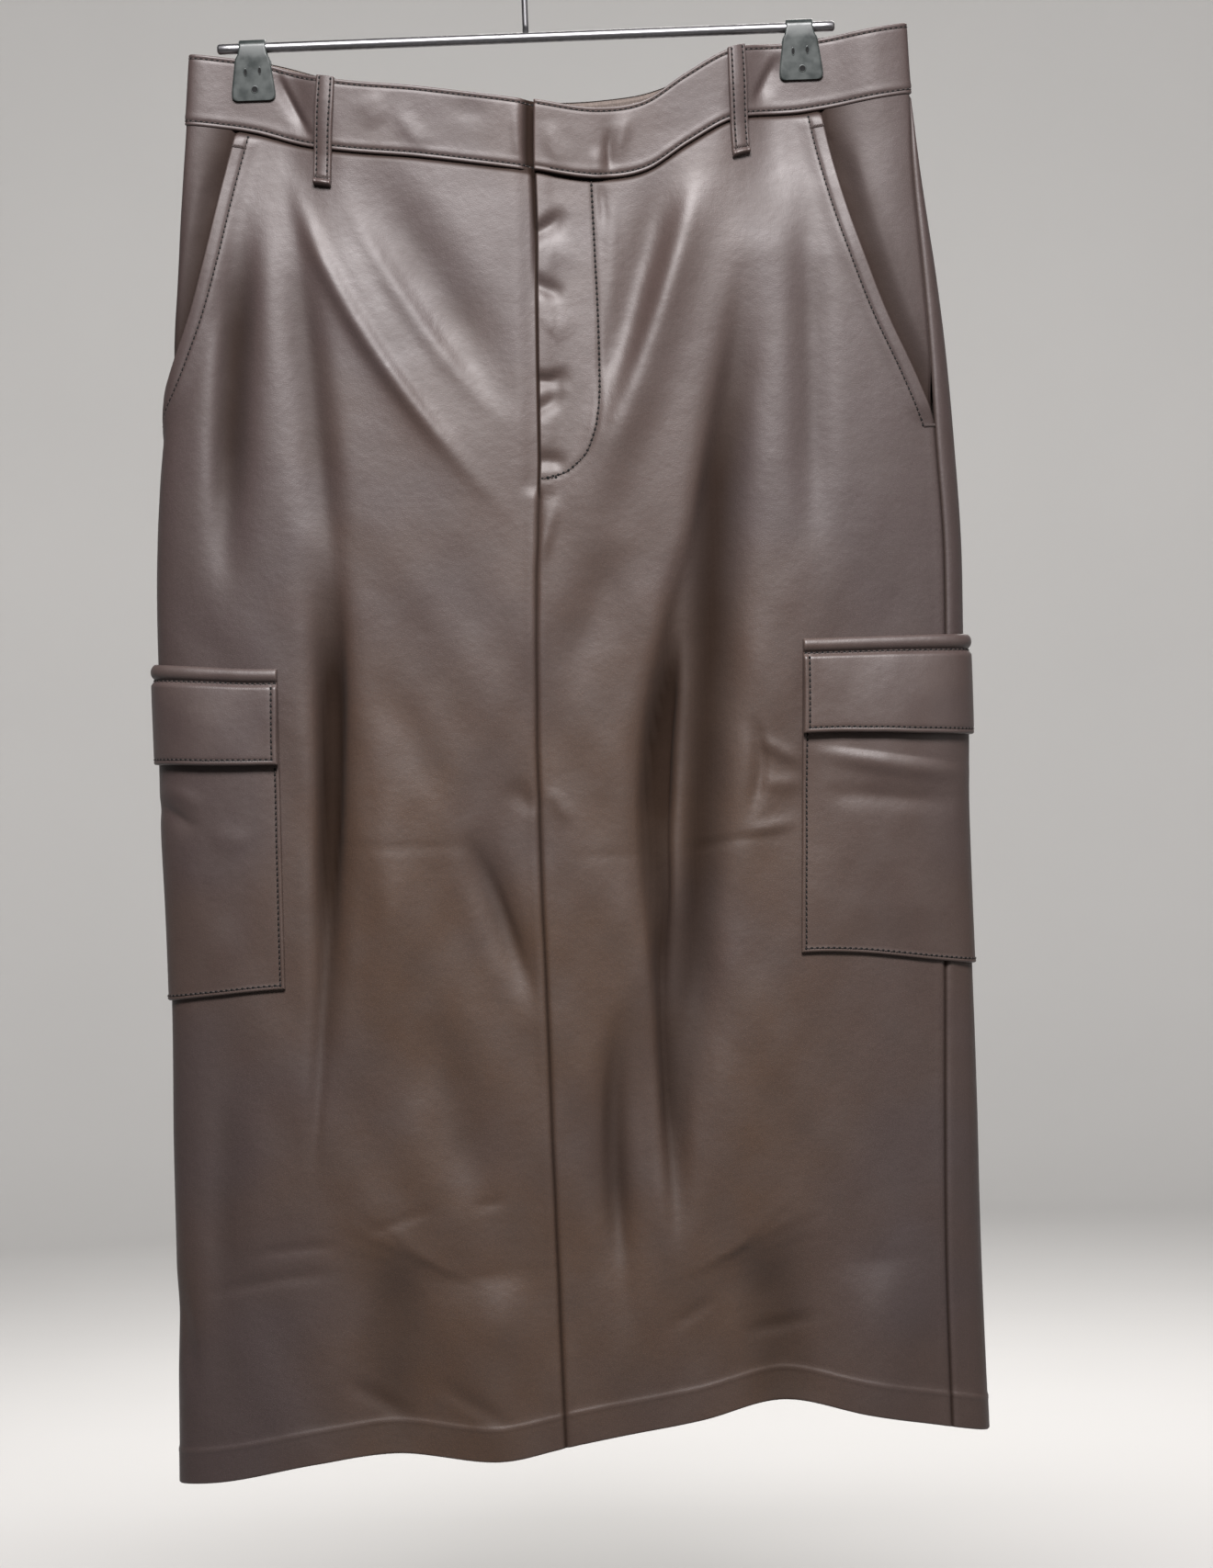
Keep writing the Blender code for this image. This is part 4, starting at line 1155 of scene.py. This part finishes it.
def add_panel(name, grid, worn, painted_shade, paths=()):
    """A panel, its hem and its waist seam folded and rubbed."""
    thick = CLOTH + CLOTH * fade(grid.rows, HEM_STITCH - 1.5, HEM_STITCH)
    thick = thick - 0.4 * (1.0 - fade(grid.rows, WAIST_SEAM - 2.0, WAIST_SEAM))
    worn = worn + bump(grid.rows - HEM, 1.2) + 0.6 * bump(grid.rows - HEM_STITCH, 1.2)
    add_cloth(name, grid, thick, np.clip(worn, 0.0, 1.0), np.clip(painted_shade, 0.0, 1.0),
              paths, turned=HEM_STITCH - HEM)


def seam_roll(distance):
    """The cloth beside a plain seam: down into it, with a soft swell beside."""
    return -1.3 * fade(distance, 0.0, 2.4) + 0.3 * bump(distance - 4.5, 2.5)


def slanted_edge(grid, distance):
    """The turned and stitched edge of a slanted pocket opening."""
    open_part = fade(-grid.rows, -SLANT_END - 14.0, -SLANT_END + 2.0)
    open_part = open_part * fade(grid.rows, WAIST_SEAM - 6.0, WAIST_SEAM)
    lift = 2.6 * fade(distance, 3.0, 20.0) - rounded(distance, 1.3)
    groove = 0.6 * bump(distance - SLANT_STITCH, 1.1)
    return (lift - groove) * open_part + seam_roll(distance) * (1.0 - open_part)


def fly_line():
    """The fly's stitched line as a smooth run of places."""
    keys = np.arange(len(FLY_STITCH))
    at = np.linspace(0.0, len(FLY_STITCH) - 1.0, 60)
    line = np.stack([np.interp(at, keys, column) for column in zip(*FLY_STITCH)], axis=1)
    for _ in range(6):
        line[1:-1] = (line[:-2] + 2 * line[1:-1] + line[2:]) / 4
    return line


def add_front(side):
    """One half of the front. The right half laps over the left at the fly."""
    levels = panel_levels(PANEL_STEP)
    gap = GAP / 2 / turn_length(levels)
    centre = centre_front(levels)
    if side == "right":
        grid = Grid(levels, centre + gap, front_edge_right(levels) - gap,
                    (*EDGE_PLACES, *np.arange(3.0, 46.0, 1.35)), SLANT_PLACES,
                    PANEL_STEP, FRONT_CREASES + FLY_DENTS)
        to_fly, to_slant = grid.near, grid.far
        fly = fade(to_fly, 3.0, 14.0) - rounded(to_fly, 1.2)
    else:
        grid = Grid(levels, front_edge_left(levels) + gap, centre - gap, SLANT_PLACES,
                    (*EDGE_PLACES, *np.arange(3.0, 26.0, 1.5)), PANEL_STEP, FRONT_CREASES)
        to_fly, to_slant = grid.far, grid.near
        sunk = fade(to_fly, 0.3, 3.5) * fade(-grid.rows, 180.0, 235.0)
        fly = -1.7 * fade(to_fly, 0.5, 14.0) - 2.5 * sunk
    in_fly = fade(-grid.rows, -FLY_END - 8.0, -FLY_END + 1.0)
    out = panel_form(grid) + fly * in_fly + seam_roll(to_fly) * (1.0 - in_fly)
    out = out + slanted_edge(grid, to_slant)
    worn = bump(to_slant, 1.4) * (grid.rows > SLANT_END)
    if side == "right":
        distance, _, _ = beside_line(fly_line(), grid.points[..., 0], grid.points[..., 2])
        grid.raise_face(out - 0.35 * bump(distance, 1.1) + 0.15 * bump(distance - 3.0, 1.6))
        worn = worn + bump(to_fly, 1.2) * in_fly
        # Painted shade in the groove of the fly's stitched line.
        painted_shade = np.maximum(panel_painted_shade(grid), 0.5 * bump(distance, 0.9))
        tack = np.array([(-1.0, -374.4), (3.0, -374.2), (8.5, -373.6)])
        slant = down_path(grid, SLANT_STITCH, WAIST_SEAM - 3.0, SLANT_END, from_far=True)
        paths = [path_near(grid, fly_line()), slant, path_near(grid, tack)]
        paths += bar_tack(grid, TACK_TOP, grid.width_at(TACK_TOP - 1.0) - 9.0, 8.0)
        low = SLANT_END - 0.5
        paths += bar_tack(grid, low, grid.width_at(SLANT_END - 1.0) - 8.0, 7.5)
    else:
        grid.raise_face(out)
        # Painted shadow beside the fly edge, where the left front goes under the right; wider near
        # the waist.
        shade = fade(to_fly, 0.4, 1.8)
        shade = shade + fade(to_fly, 0.8, 4.0) * fade(-grid.rows, 165.0, 200.0)
        painted_shade = panel_painted_shade(grid) + shade * in_fly
        paths = [down_path(grid, SLANT_STITCH, WAIST_SEAM - 3.0, SLANT_END)]
        paths += bar_tack(grid, TACK_TOP, 1.0, 8.0)
    add_panel("front_" + side, grid, worn, painted_shade, paths)


def add_back(side):
    """A plain back half between a side seam and the centre back seam."""
    levels = panel_levels(BACK_STEP)
    gap = GAP / 2 / turn_length(levels)
    first, last = beside_right(SEAMS, levels), centre_back(levels)
    if side == "left":
        first, last = last, beside_left(SEAMS, levels) + 4.0
    places = (*EDGE_PLACES, 3.0, 4.5, 6.5)
    grid = Grid(levels, first + gap, last - gap, places, places, BACK_STEP, BACK_CREASES)
    grid.raise_face(panel_form(grid) + seam_roll(grid.near) + seam_roll(grid.far))
    add_panel("back_" + side, grid, 0.0, panel_painted_shade(grid))


# ---- Pockets ----

def pocket_edges(side, levels):
    """First and last turns of a cargo pocket, which crosses the side seam."""
    beside, way = (beside_right, 1.0) if side == "right" else (beside_left, -1.0)

    def edge(level):
        return turn_at(read(POCKET_EDGE, side, level), level)

    ends = np.array((FLAP_TOP, POCKET_BOTTOM))
    at_top, at_bottom = way * (beside(SEAMS, ends) - edge(ends)) * turn_length(ends)
    share = (FLAP_TOP - levels) / (FLAP_TOP - POCKET_BOTTOM)
    hidden = POCKET_WIDTH - at_top * (1 - share) - at_bottom * share
    turns = edge(levels), beside(SEAMS, levels) + way * hidden / turn_length(levels)
    return turns if side == "right" else turns[::-1]


def flatter(grid):
    """How freely a pocket stands off: hardly at the side fold."""
    from_fold = np.abs(np.mod(grid.turns + 1.0, 2.0) - 1.0) * turn_length(grid.rows)
    return 1.0 - 0.9 * bump(from_fold, FOLD_FLAT)


def pocket_puff(grid):
    """How far a cargo pocket stands off its panels."""
    first, last = grid.turns[:, :1], grid.turns[:, -1:]
    down = np.clip((ROLL_BOTTOM - grid.rows) / (ROLL_BOTTOM - POCKET_BOTTOM), 0.0, 1.0)
    across = np.clip((grid.turns - first) / (last - first), 0.0, 1.0)
    across = np.sin(math.pi * across) ** 0.6
    return POCKET_PUFF * np.sin(math.pi * down ** 0.8) * across * flatter(grid)


def add_pocket(side):
    top = ROLL_BOTTOM - 4.0
    levels = top - spaced(top - POCKET_BOTTOM, POCKET_STEP)
    places = (*EDGE_PLACES, 2.4, 2.9, 3.6, 4.6)
    grid = Grid(levels, *pocket_edges(side, levels), places, places, POCKET_STEP,
                POCKET_CREASES)
    edge = np.minimum(np.minimum(grid.near, grid.far), grid.rows - POCKET_BOTTOM)
    out = 2 * GAP + CLOTH + pocket_puff(grid) + 0.5 * fade(edge, 2.0, 3.4)
    grid.raise_face(out - rounded(edge, 1.1) - 0.35 * bump(edge - POCKET_STITCH, 0.7))

    low = POCKET_BOTTOM + POCKET_STITCH
    paths = [down_path(grid, POCKET_STITCH, top - 2.0, low, far) for far in (False, True)]
    paths += [across_path(grid, low, POCKET_STITCH, POCKET_STITCH)]
    # The pocket is a little lighter all over, and lighter still along its edges.
    add_cloth("cargo_pocket_" + side, grid, CLOTH, 0.4 + 0.6 * bump(edge, 1.1), 0.0, paths)


def add_flap(side):
    """A double flap, its top turned up into a roll above the stitches."""
    tall = FLAP_TOP - FLAP_BOTTOM
    roll = FLAP_ROLL_PLACES[-1]
    middle = spaced(tall - roll, FLAP_STEP)[len(EDGE_PLACES):-len(EDGE_PLACES) - 1]
    down = np.concatenate((FLAP_ROLL_PLACES, roll + middle, tall - np.array(FLAP_LOW_PLACES)))
    levels = np.array(sorted(set(np.round(FLAP_TOP - down, 3)), reverse=True))
    places = (*EDGE_PLACES, 2.6, 3.1, 3.6, 4.2, 5.2)
    grid = Grid(levels, *pocket_edges(side, levels), places, places, FLAP_STEP)
    edge = np.minimum(np.minimum(grid.near, grid.far), grid.rows - FLAP_BOTTOM)
    below = FLAP_TOP - grid.rows

    rolled = 1.6 + 3.3 * np.clip(1.0 - ((below - 4.4) / 4.6) ** 2, 0.0, 1.0) ** 0.5
    part = np.clip((below - 10.0) / (tall - 10.0), 0.0, 1.0)
    swell = FLAP_LIFT * part + 0.9 * np.sin(math.pi * part) ** 0.5
    body = 4 * GAP + CLOTH + FLAP + pocket_puff(grid) + swell * flatter(grid)
    blend = fade(below, 9.2, 13.0)
    body = NECK_OUT * blend + body * (1.0 - blend)
    out = np.where(below >= 9.2, body, np.maximum(rolled, NECK_OUT))
    out = out - 0.4 * bump(edge - FLAP_STITCH, 0.8) * (below > 11.0) - rounded(edge, 1.4)
    grid.raise_face(out)

    low, high = FLAP_BOTTOM + FLAP_STITCH, FLAP_TOP - 9.8
    paths = [across_path(grid, high, 1.5, 1.5),
             across_path(grid, low, FLAP_STITCH, FLAP_STITCH)]
    paths += [down_path(grid, FLAP_STITCH, high - 3.0, low, far) for far in (False, True)]
    # The flap is lighter all over, and lighter still along its edges.
    add_cloth("cargo_flap_" + side, grid, np.clip(out - 0.5, 1.2, FLAP),
              np.clip(0.65 + bump(edge, 1.3), 0.0, 1.0), 0.0, paths)


def inside_levels(end, step):
    """Levels of a piece that hangs from the band behind a front."""
    return np.concatenate(((-143.2, -144.6), np.arange(-146.0, end, -step), [end]))


def add_facing(side):
    """The piece seen behind a slanted opening, set back behind its edge."""
    levels = inside_levels(SLANT_END, 2.4)
    length = turn_length(levels)
    beside, way = (beside_right, 1.0) if side == "right" else (beside_left, -1.0)
    seam = beside(SEAMS, levels) - way * GAP / 2 / length
    slant = beside(SLANTS, levels)
    edges = [slant - way * SLANT_BEHIND / length,
             slant + way * np.maximum(way * (seam - slant), 1.5 / length)]
    grid = Grid(levels, *edges[::int(way)], EDGE_PLACES, EDGE_PLACES, 2.2, FRONT_CREASES)
    to_seam = grid.far if side == "right" else grid.near
    beyond = way * (grid.turns - slant[:, None]) * length[:, None]
    shown = np.abs(beyond)
    out = -0.2 - 4.4 * fade(shown, 3.0, 17.0) * fade(grid.rows, -190.0, -155.0)
    out = out - 1.1 * fade(to_seam, 0.0, 2.2)
    grid.raise_face(np.where(beyond < 1.0, np.minimum(out, -CLOTH - LAYER_GAP), out))
    # Painted shadow on the facing: a little all over, and darkest just behind the slanted edge.
    add_cloth("pocket_facing_" + side, grid, CLOTH,
              painted_shade=0.15 + 0.75 * fade(shown, 0.0, SLANT_BEHIND))


def add_underlap():
    """The strip behind the fly edge."""
    levels = inside_levels(FLY_END, 3.0)
    length = turn_length(levels)
    first = centre_front(levels) - FLY_BEHIND / length
    grid = Grid(levels, first, first + UNDERLAP_WIDTH / length, EDGE_PLACES, EDGE_PLACES, 3.0)
    grid.raise_face(-CLOTH - LAYER_GAP - 2.2 - 7.0 * fade(-grid.rows, 225.0, 320.0))
    add_cloth("fly_underlap", grid, CLOTH)


# ---- Waistband and loops ----

def add_waistband():
    """The double band, its right end lapped over its left end."""
    tall = BAND_TOP - WAIST_SEAM - SEAM_GAP
    levels = BAND_TOP - spaced(tall, 1.6, (*EDGE_PLACES, 2.3, 2.7, 3.2, 3.9))
    grid = Grid(levels, turn_at(LAP_EDGE, WAIST_SEAM),
                turn_at(LAP_EDGE + LAP_UNDER, WAIST_SEAM) + 4.0,
                EDGE_PLACES, EDGE_PLACES, BAND_STEP, BAND_CREASES)
    shown = grid.far - LAP_UNDER
    top_edge = BAND_TOP - grid.rows
    low_edge = grid.rows - levels[-1]
    ends = np.minimum(grid.near, grid.far)
    long_edge = np.minimum(top_edge, low_edge)
    over = fade(grid.near, LAP_UNDER + LAP_CLEAR, LAP_UNDER + LAP_RISE)
    out = BAND_PROUD + over * (BAND + GAP)
    out = out - 1.2 * fade(shown, 2.0, 24.0) - 5.6 * fade(shown, 0.5, 9.0)
    out = out - rounded(top_edge, 1.1) - rounded(low_edge, 1.0) - rounded(ends, 1.2)
    out = out - 0.4 * bump(top_edge - BAND_STITCH, 0.75) - 0.4 * bump(low_edge - BAND_STITCH, 0.75)
    grid.raise_face(out + 0.25 * bump(low_edge - 5.2, 1.6))
    # Painted shade in the grooves of the stitched rows, and a painted shadow in the gap where the
    # left end goes under the right end.
    groove_shade = 0.4 * bump(long_edge - BAND_STITCH, 0.7)
    lapped = fade(shown, 4.0, 8.0) * (shown > -6.0)
    paths = [across_path(grid, BAND_TOP - BAND_STITCH, 3.0, 2.0),
             across_path(grid, float(levels[-1]) + BAND_STITCH, 11.0, 2.0)]
    add_cloth("waistband", grid, BAND - 0.5 * fade(long_edge, 0.0, 1.0),
              0.6 * bump(np.minimum(long_edge, ends), 1.1), np.maximum(groove_shade, lapped), paths)


def add_belt_loop(loop):
    """A folded strip over the band, with two rows of stitches and a rolled foot."""
    top, foot = BAND_TOP + 0.4, WAIST_SEAM - LOOP_DROP
    levels = top - spaced(top - foot, LOOP_STEP)
    sides = sorted(float(turn_at(loop.x + edge, WAIST_SEAM, loop.on_back))
                   for edge in (-LOOP_WIDTH / 2, LOOP_WIDTH / 2))
    places = (0.0, 0.3, 0.8, 1.4)
    grid = Grid(levels, *sides, places, places, 0.7)
    beside = np.minimum(grid.near, grid.far)
    rise = grid.rows - foot
    down = np.clip((top - grid.rows) / (top - foot) / 0.72, 0.0, 1.0)
    out = BAND_PROUD + 2 * GAP + LOOP + 1.2 * np.sin(math.pi * down)
    out = out - rounded(beside, 1.0) - rounded(rise, 1.4)
    out = out - 0.35 * bump(beside - 2.0, 0.6) + 0.2 * bump(beside - LOOP_WIDTH / 2, 1.6)
    grid.raise_face(out + 1.3 * bump(rise - 1.8, 1.5) - 0.5 * bump(rise - 4.6, 0.8))
    worn = np.clip(bump(beside, 0.8) + bump(rise - 1.8, 1.2), 0.0, 1.0)
    paths = [down_path(grid, 2.0, top - 1.5, foot + 5.5, far) for far in (False, True)]
    paths += bar_tack(grid, foot + 5.0, 1.2, LOOP_WIDTH - 2.4)
    add_cloth(loop.name, grid, LOOP, worn, 0.0, paths, thread=LOOP_THREAD)


# ---- Hanger ----

def add_rod(name, route, radius, sides, replaced):
    """A closed round rod of steel along a route of x, y and z."""
    route = np.array(route, dtype=float)
    ahead = np.gradient(route, axis=0)
    ahead /= np.linalg.norm(ahead, axis=1, keepdims=True)
    points = []
    for spot, way, girth in zip(route, ahead, radius):
        points += ring_points(spot, (-way[2] * girth, 0.0, way[0] * girth),
                              (0.0, girth, 0.0), sides)
    made = add_piece(name, points, closed_faces(len(route), sides), (STEEL,), "hanger_steel")
    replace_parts(made, replaced)


def add_hanger():
    """The bar with capped ends, and the hook that stands on it."""
    cap = ((0.0, 0.55), (0.5, 0.85), (1.3, 1.0))
    x = np.concatenate(([along - BAR_HALF for along, _ in cap],
                        np.linspace(8.0 - BAR_HALF, BAR_HALF - 8.0, 40),
                        [BAR_HALF - along for along, _ in cap[::-1]]))
    girth = [size for _, size in cap] + [1.0] * 40 + [size for _, size in cap[::-1]]
    add_rod("hanger_bar_steel", [(place, 0.0, BAR_Z) for place in x],
            BAR_RADIUS * np.array(girth), 32, "hanger_bar")

    bend = HOOK_INSIDE + WIRE
    stem = np.linspace(BAR_Z + BAR_RADIUS + GAP, -HOOK_INSIDE - bend - 4.0, 12)
    route = [(0.0, 0.0, z) for z in stem]
    for angle in np.radians(np.arange(-75, 211, 5)):
        route.append((bend * math.cos(angle), 0.0, -HOOK_INSIDE + bend * math.sin(angle)))
    route.append((-bend - 1.0, 0.0, -HOOK_INSIDE - bend * 0.5 - 5.0))
    girth = np.full(len(route), WIRE)
    girth[-1] = WIRE * 0.7
    add_rod("hanger_hook_steel", route, girth, 20, "hanger_hook")


def add_clip(name, x):
    """A bent plate over the bar, with rounded corners and small holes."""
    leg = PRESSED + BAND_PROUD + GAP
    round_bar = BAR_RADIUS + GAP
    half = CLIP_WIDTH / 2
    tall = CLIP_SHOULDER - CLIP_BOTTOM
    leg_part = []
    for rise in (0.0, 0.15, 0.5, 1.0, 1.6, 2.4, 3.2, 5.0, *np.arange(8.0, 27.0, 3.0)):
        corner = 3.0 - math.sqrt(max(9.0 - (3.0 - min(rise, 3.0)) ** 2, 0.0))
        taper = (half - CLIP_NECK / 2 - 2.2) * max(rise - 6.0, 0.0) / (tall - 6.0)
        leg_part.append((-leg, CLIP_BOTTOM + rise, half - corner - taper))
    leg_part.append((-leg, CLIP_SHOULDER, CLIP_NECK / 2 + 1.0))
    top = [(round_bar * math.cos(angle), BAR_Z + round_bar * math.sin(angle), CLIP_NECK / 2)
           for angle in np.linspace(math.pi, 0.0, 19)]
    path = np.array(leg_part + top + [(-y, z, width) for y, z, width in leg_part[::-1]])
    along = np.gradient(path[:, :2], axis=0)
    along /= np.linalg.norm(along, axis=1, keepdims=True)
    parts = np.array((0.2, 0.4, 0.6, 0.8, 0.9, 0.97, 1.0))
    parts = np.concatenate((-parts[::-1], [0.0], parts))
    width = path[:, 2:] * parts
    drop = rounded((1.0 - np.abs(parts)) * path[:, 2:], 0.6)
    outer, inner = [
        np.stack((x + width, path[:, :1] - lift * along[:, 1:], path[:, 1:2] + lift * along[:, :1]),
                 axis=-1) for lift in (CLIP_PLATE - drop, 0.0 * drop)]
    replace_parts(add_plate(name + "_plate", outer, inner), name)
    add_holes(name + "_holes", x, -leg - CLIP_PLATE)


def add_holes(name, clip_x, front_y):
    """The holes of a clip, each a dark face inside a low rim: painted shade of the hole."""
    points, faces, slots = [], [], []
    for hole in CLIP_HOLES:
        faces += closed_faces(len(HOLE_RINGS), HOLE_SIDES, len(points))
        slots += [0] * (len(faces) - len(slots) - 1) + [1]
        for size, out in HOLE_RINGS:
            points += ring_points((clip_x + hole.x, front_y - out, CLIP_BOTTOM + hole.z),
                                  (hole.half_wide * size, 0.0, 0.0),
                                  (0.0, 0.0, hole.half_tall * size), HOLE_SIDES)
    add_piece(name, points, faces, (PLATE, HOLE_SHADE), "clip_plate", slots)


# ---- Stage, lights and camera ----

def add_stage():
    """A plain pale floor that rises into a round wall. It is darker in front
    of the skirt, which keeps the cloth's reflections dark."""
    profile = [(0.0, 0.0), (1.4, 0.0), (FLOOR_RADIUS, 0.0)]
    profile += [(FLOOR_RADIUS + COVE * math.sin(angle), COVE - COVE * math.cos(angle))
                for angle in np.linspace(0.1, math.pi / 2, 12)]
    profile += [(FLOOR_RADIUS + COVE, WALL_TALL)]
    points = []
    for radius, rise in profile:
        points += ring_points((0.0, 0.0, FLOOR_Z + rise), (radius, 0.0, 0.0),
                              (0.0, radius, 0.0), FLOOR_SIDES)
    mesh = bpy.data.meshes.new("studio_floor")
    mesh.from_pydata(points, [], ring_faces(len(profile), FLOOR_SIDES))
    mesh.shade_smooth()
    finish = Finish("studio_floor", 0.9)
    pale = finish.mix(finish.noise(2.0, 2.0), (0.6, 0.595, 0.585), (0.64, 0.635, 0.625))
    behind = finish.span(finish.apart()["Y"], -0.3, 0.5, 0.0, 1.0)
    finish.set(Base_Color=finish.mix(behind, (0.16, 0.158, 0.155), pale))
    mesh.materials.append(finish.made)
    floor = bpy.data.objects.new("studio_floor", mesh)
    bpy.context.collection.objects.link(floor)


def add_lamps():
    for lamp in LAMPS:
        light = bpy.data.lights.new(lamp.name, "AREA")
        light.shape = "RECTANGLE"
        light.size = lamp.wide
        light.size_y = lamp.tall
        light.energy = lamp.power
        light.color = lamp.colour
        made = bpy.data.objects.new(lamp.name, light)
        made.location = (lamp.x, lamp.y, lamp.z)
        ahead = lamp.aim_y - lamp.y
        rise = math.atan2(lamp.aim_z - lamp.z, math.hypot(lamp.x, ahead))
        made.rotation_euler = (math.pi / 2 + rise, 0.0, math.atan2(lamp.x, ahead))
        made.visible_camera = False
        bpy.context.collection.objects.link(made)
    world = bpy.data.worlds.new("studio")
    world.use_nodes = True
    background = world.node_tree.nodes["Background"]
    background.inputs["Color"].default_value = (0.9, 0.91, 0.93, 1.0)
    background.inputs["Strength"].default_value = 0.05
    bpy.context.scene.world = world
    bpy.context.scene.view_settings.view_transform = "Standard"


def add_camera():
    """The camera looks straight at the front, rolled as the picture is."""
    data = bpy.data.cameras.new("camera")
    data.lens = SENSOR * CAMERA_DISTANCE / PHOTO_TALL
    made = bpy.data.objects.new("camera", data)
    made.location = (PHOTO_CENTRE[0] * MM, -CAMERA_DISTANCE * MM, PHOTO_CENTRE[1] * MM)
    made.rotation_euler = (math.pi / 2, math.radians(PHOTO_ROLL), 0.0)
    bpy.context.collection.objects.link(made)
    bpy.context.scene.camera = made


add_camera()
add_stage()
add_lamps()
add_front("left")
add_front("right")
add_back("right")
add_back("left")
for pocket_side in ("left", "right"):
    add_facing(pocket_side)
    add_pocket(pocket_side)
    add_flap(pocket_side)
add_underlap()
add_waistband()
for belt_loop in LOOPS:
    add_belt_loop(belt_loop)
add_hanger()
add_clip("clip_left", -CLIP_X)
add_clip("clip_right", CLIP_X)
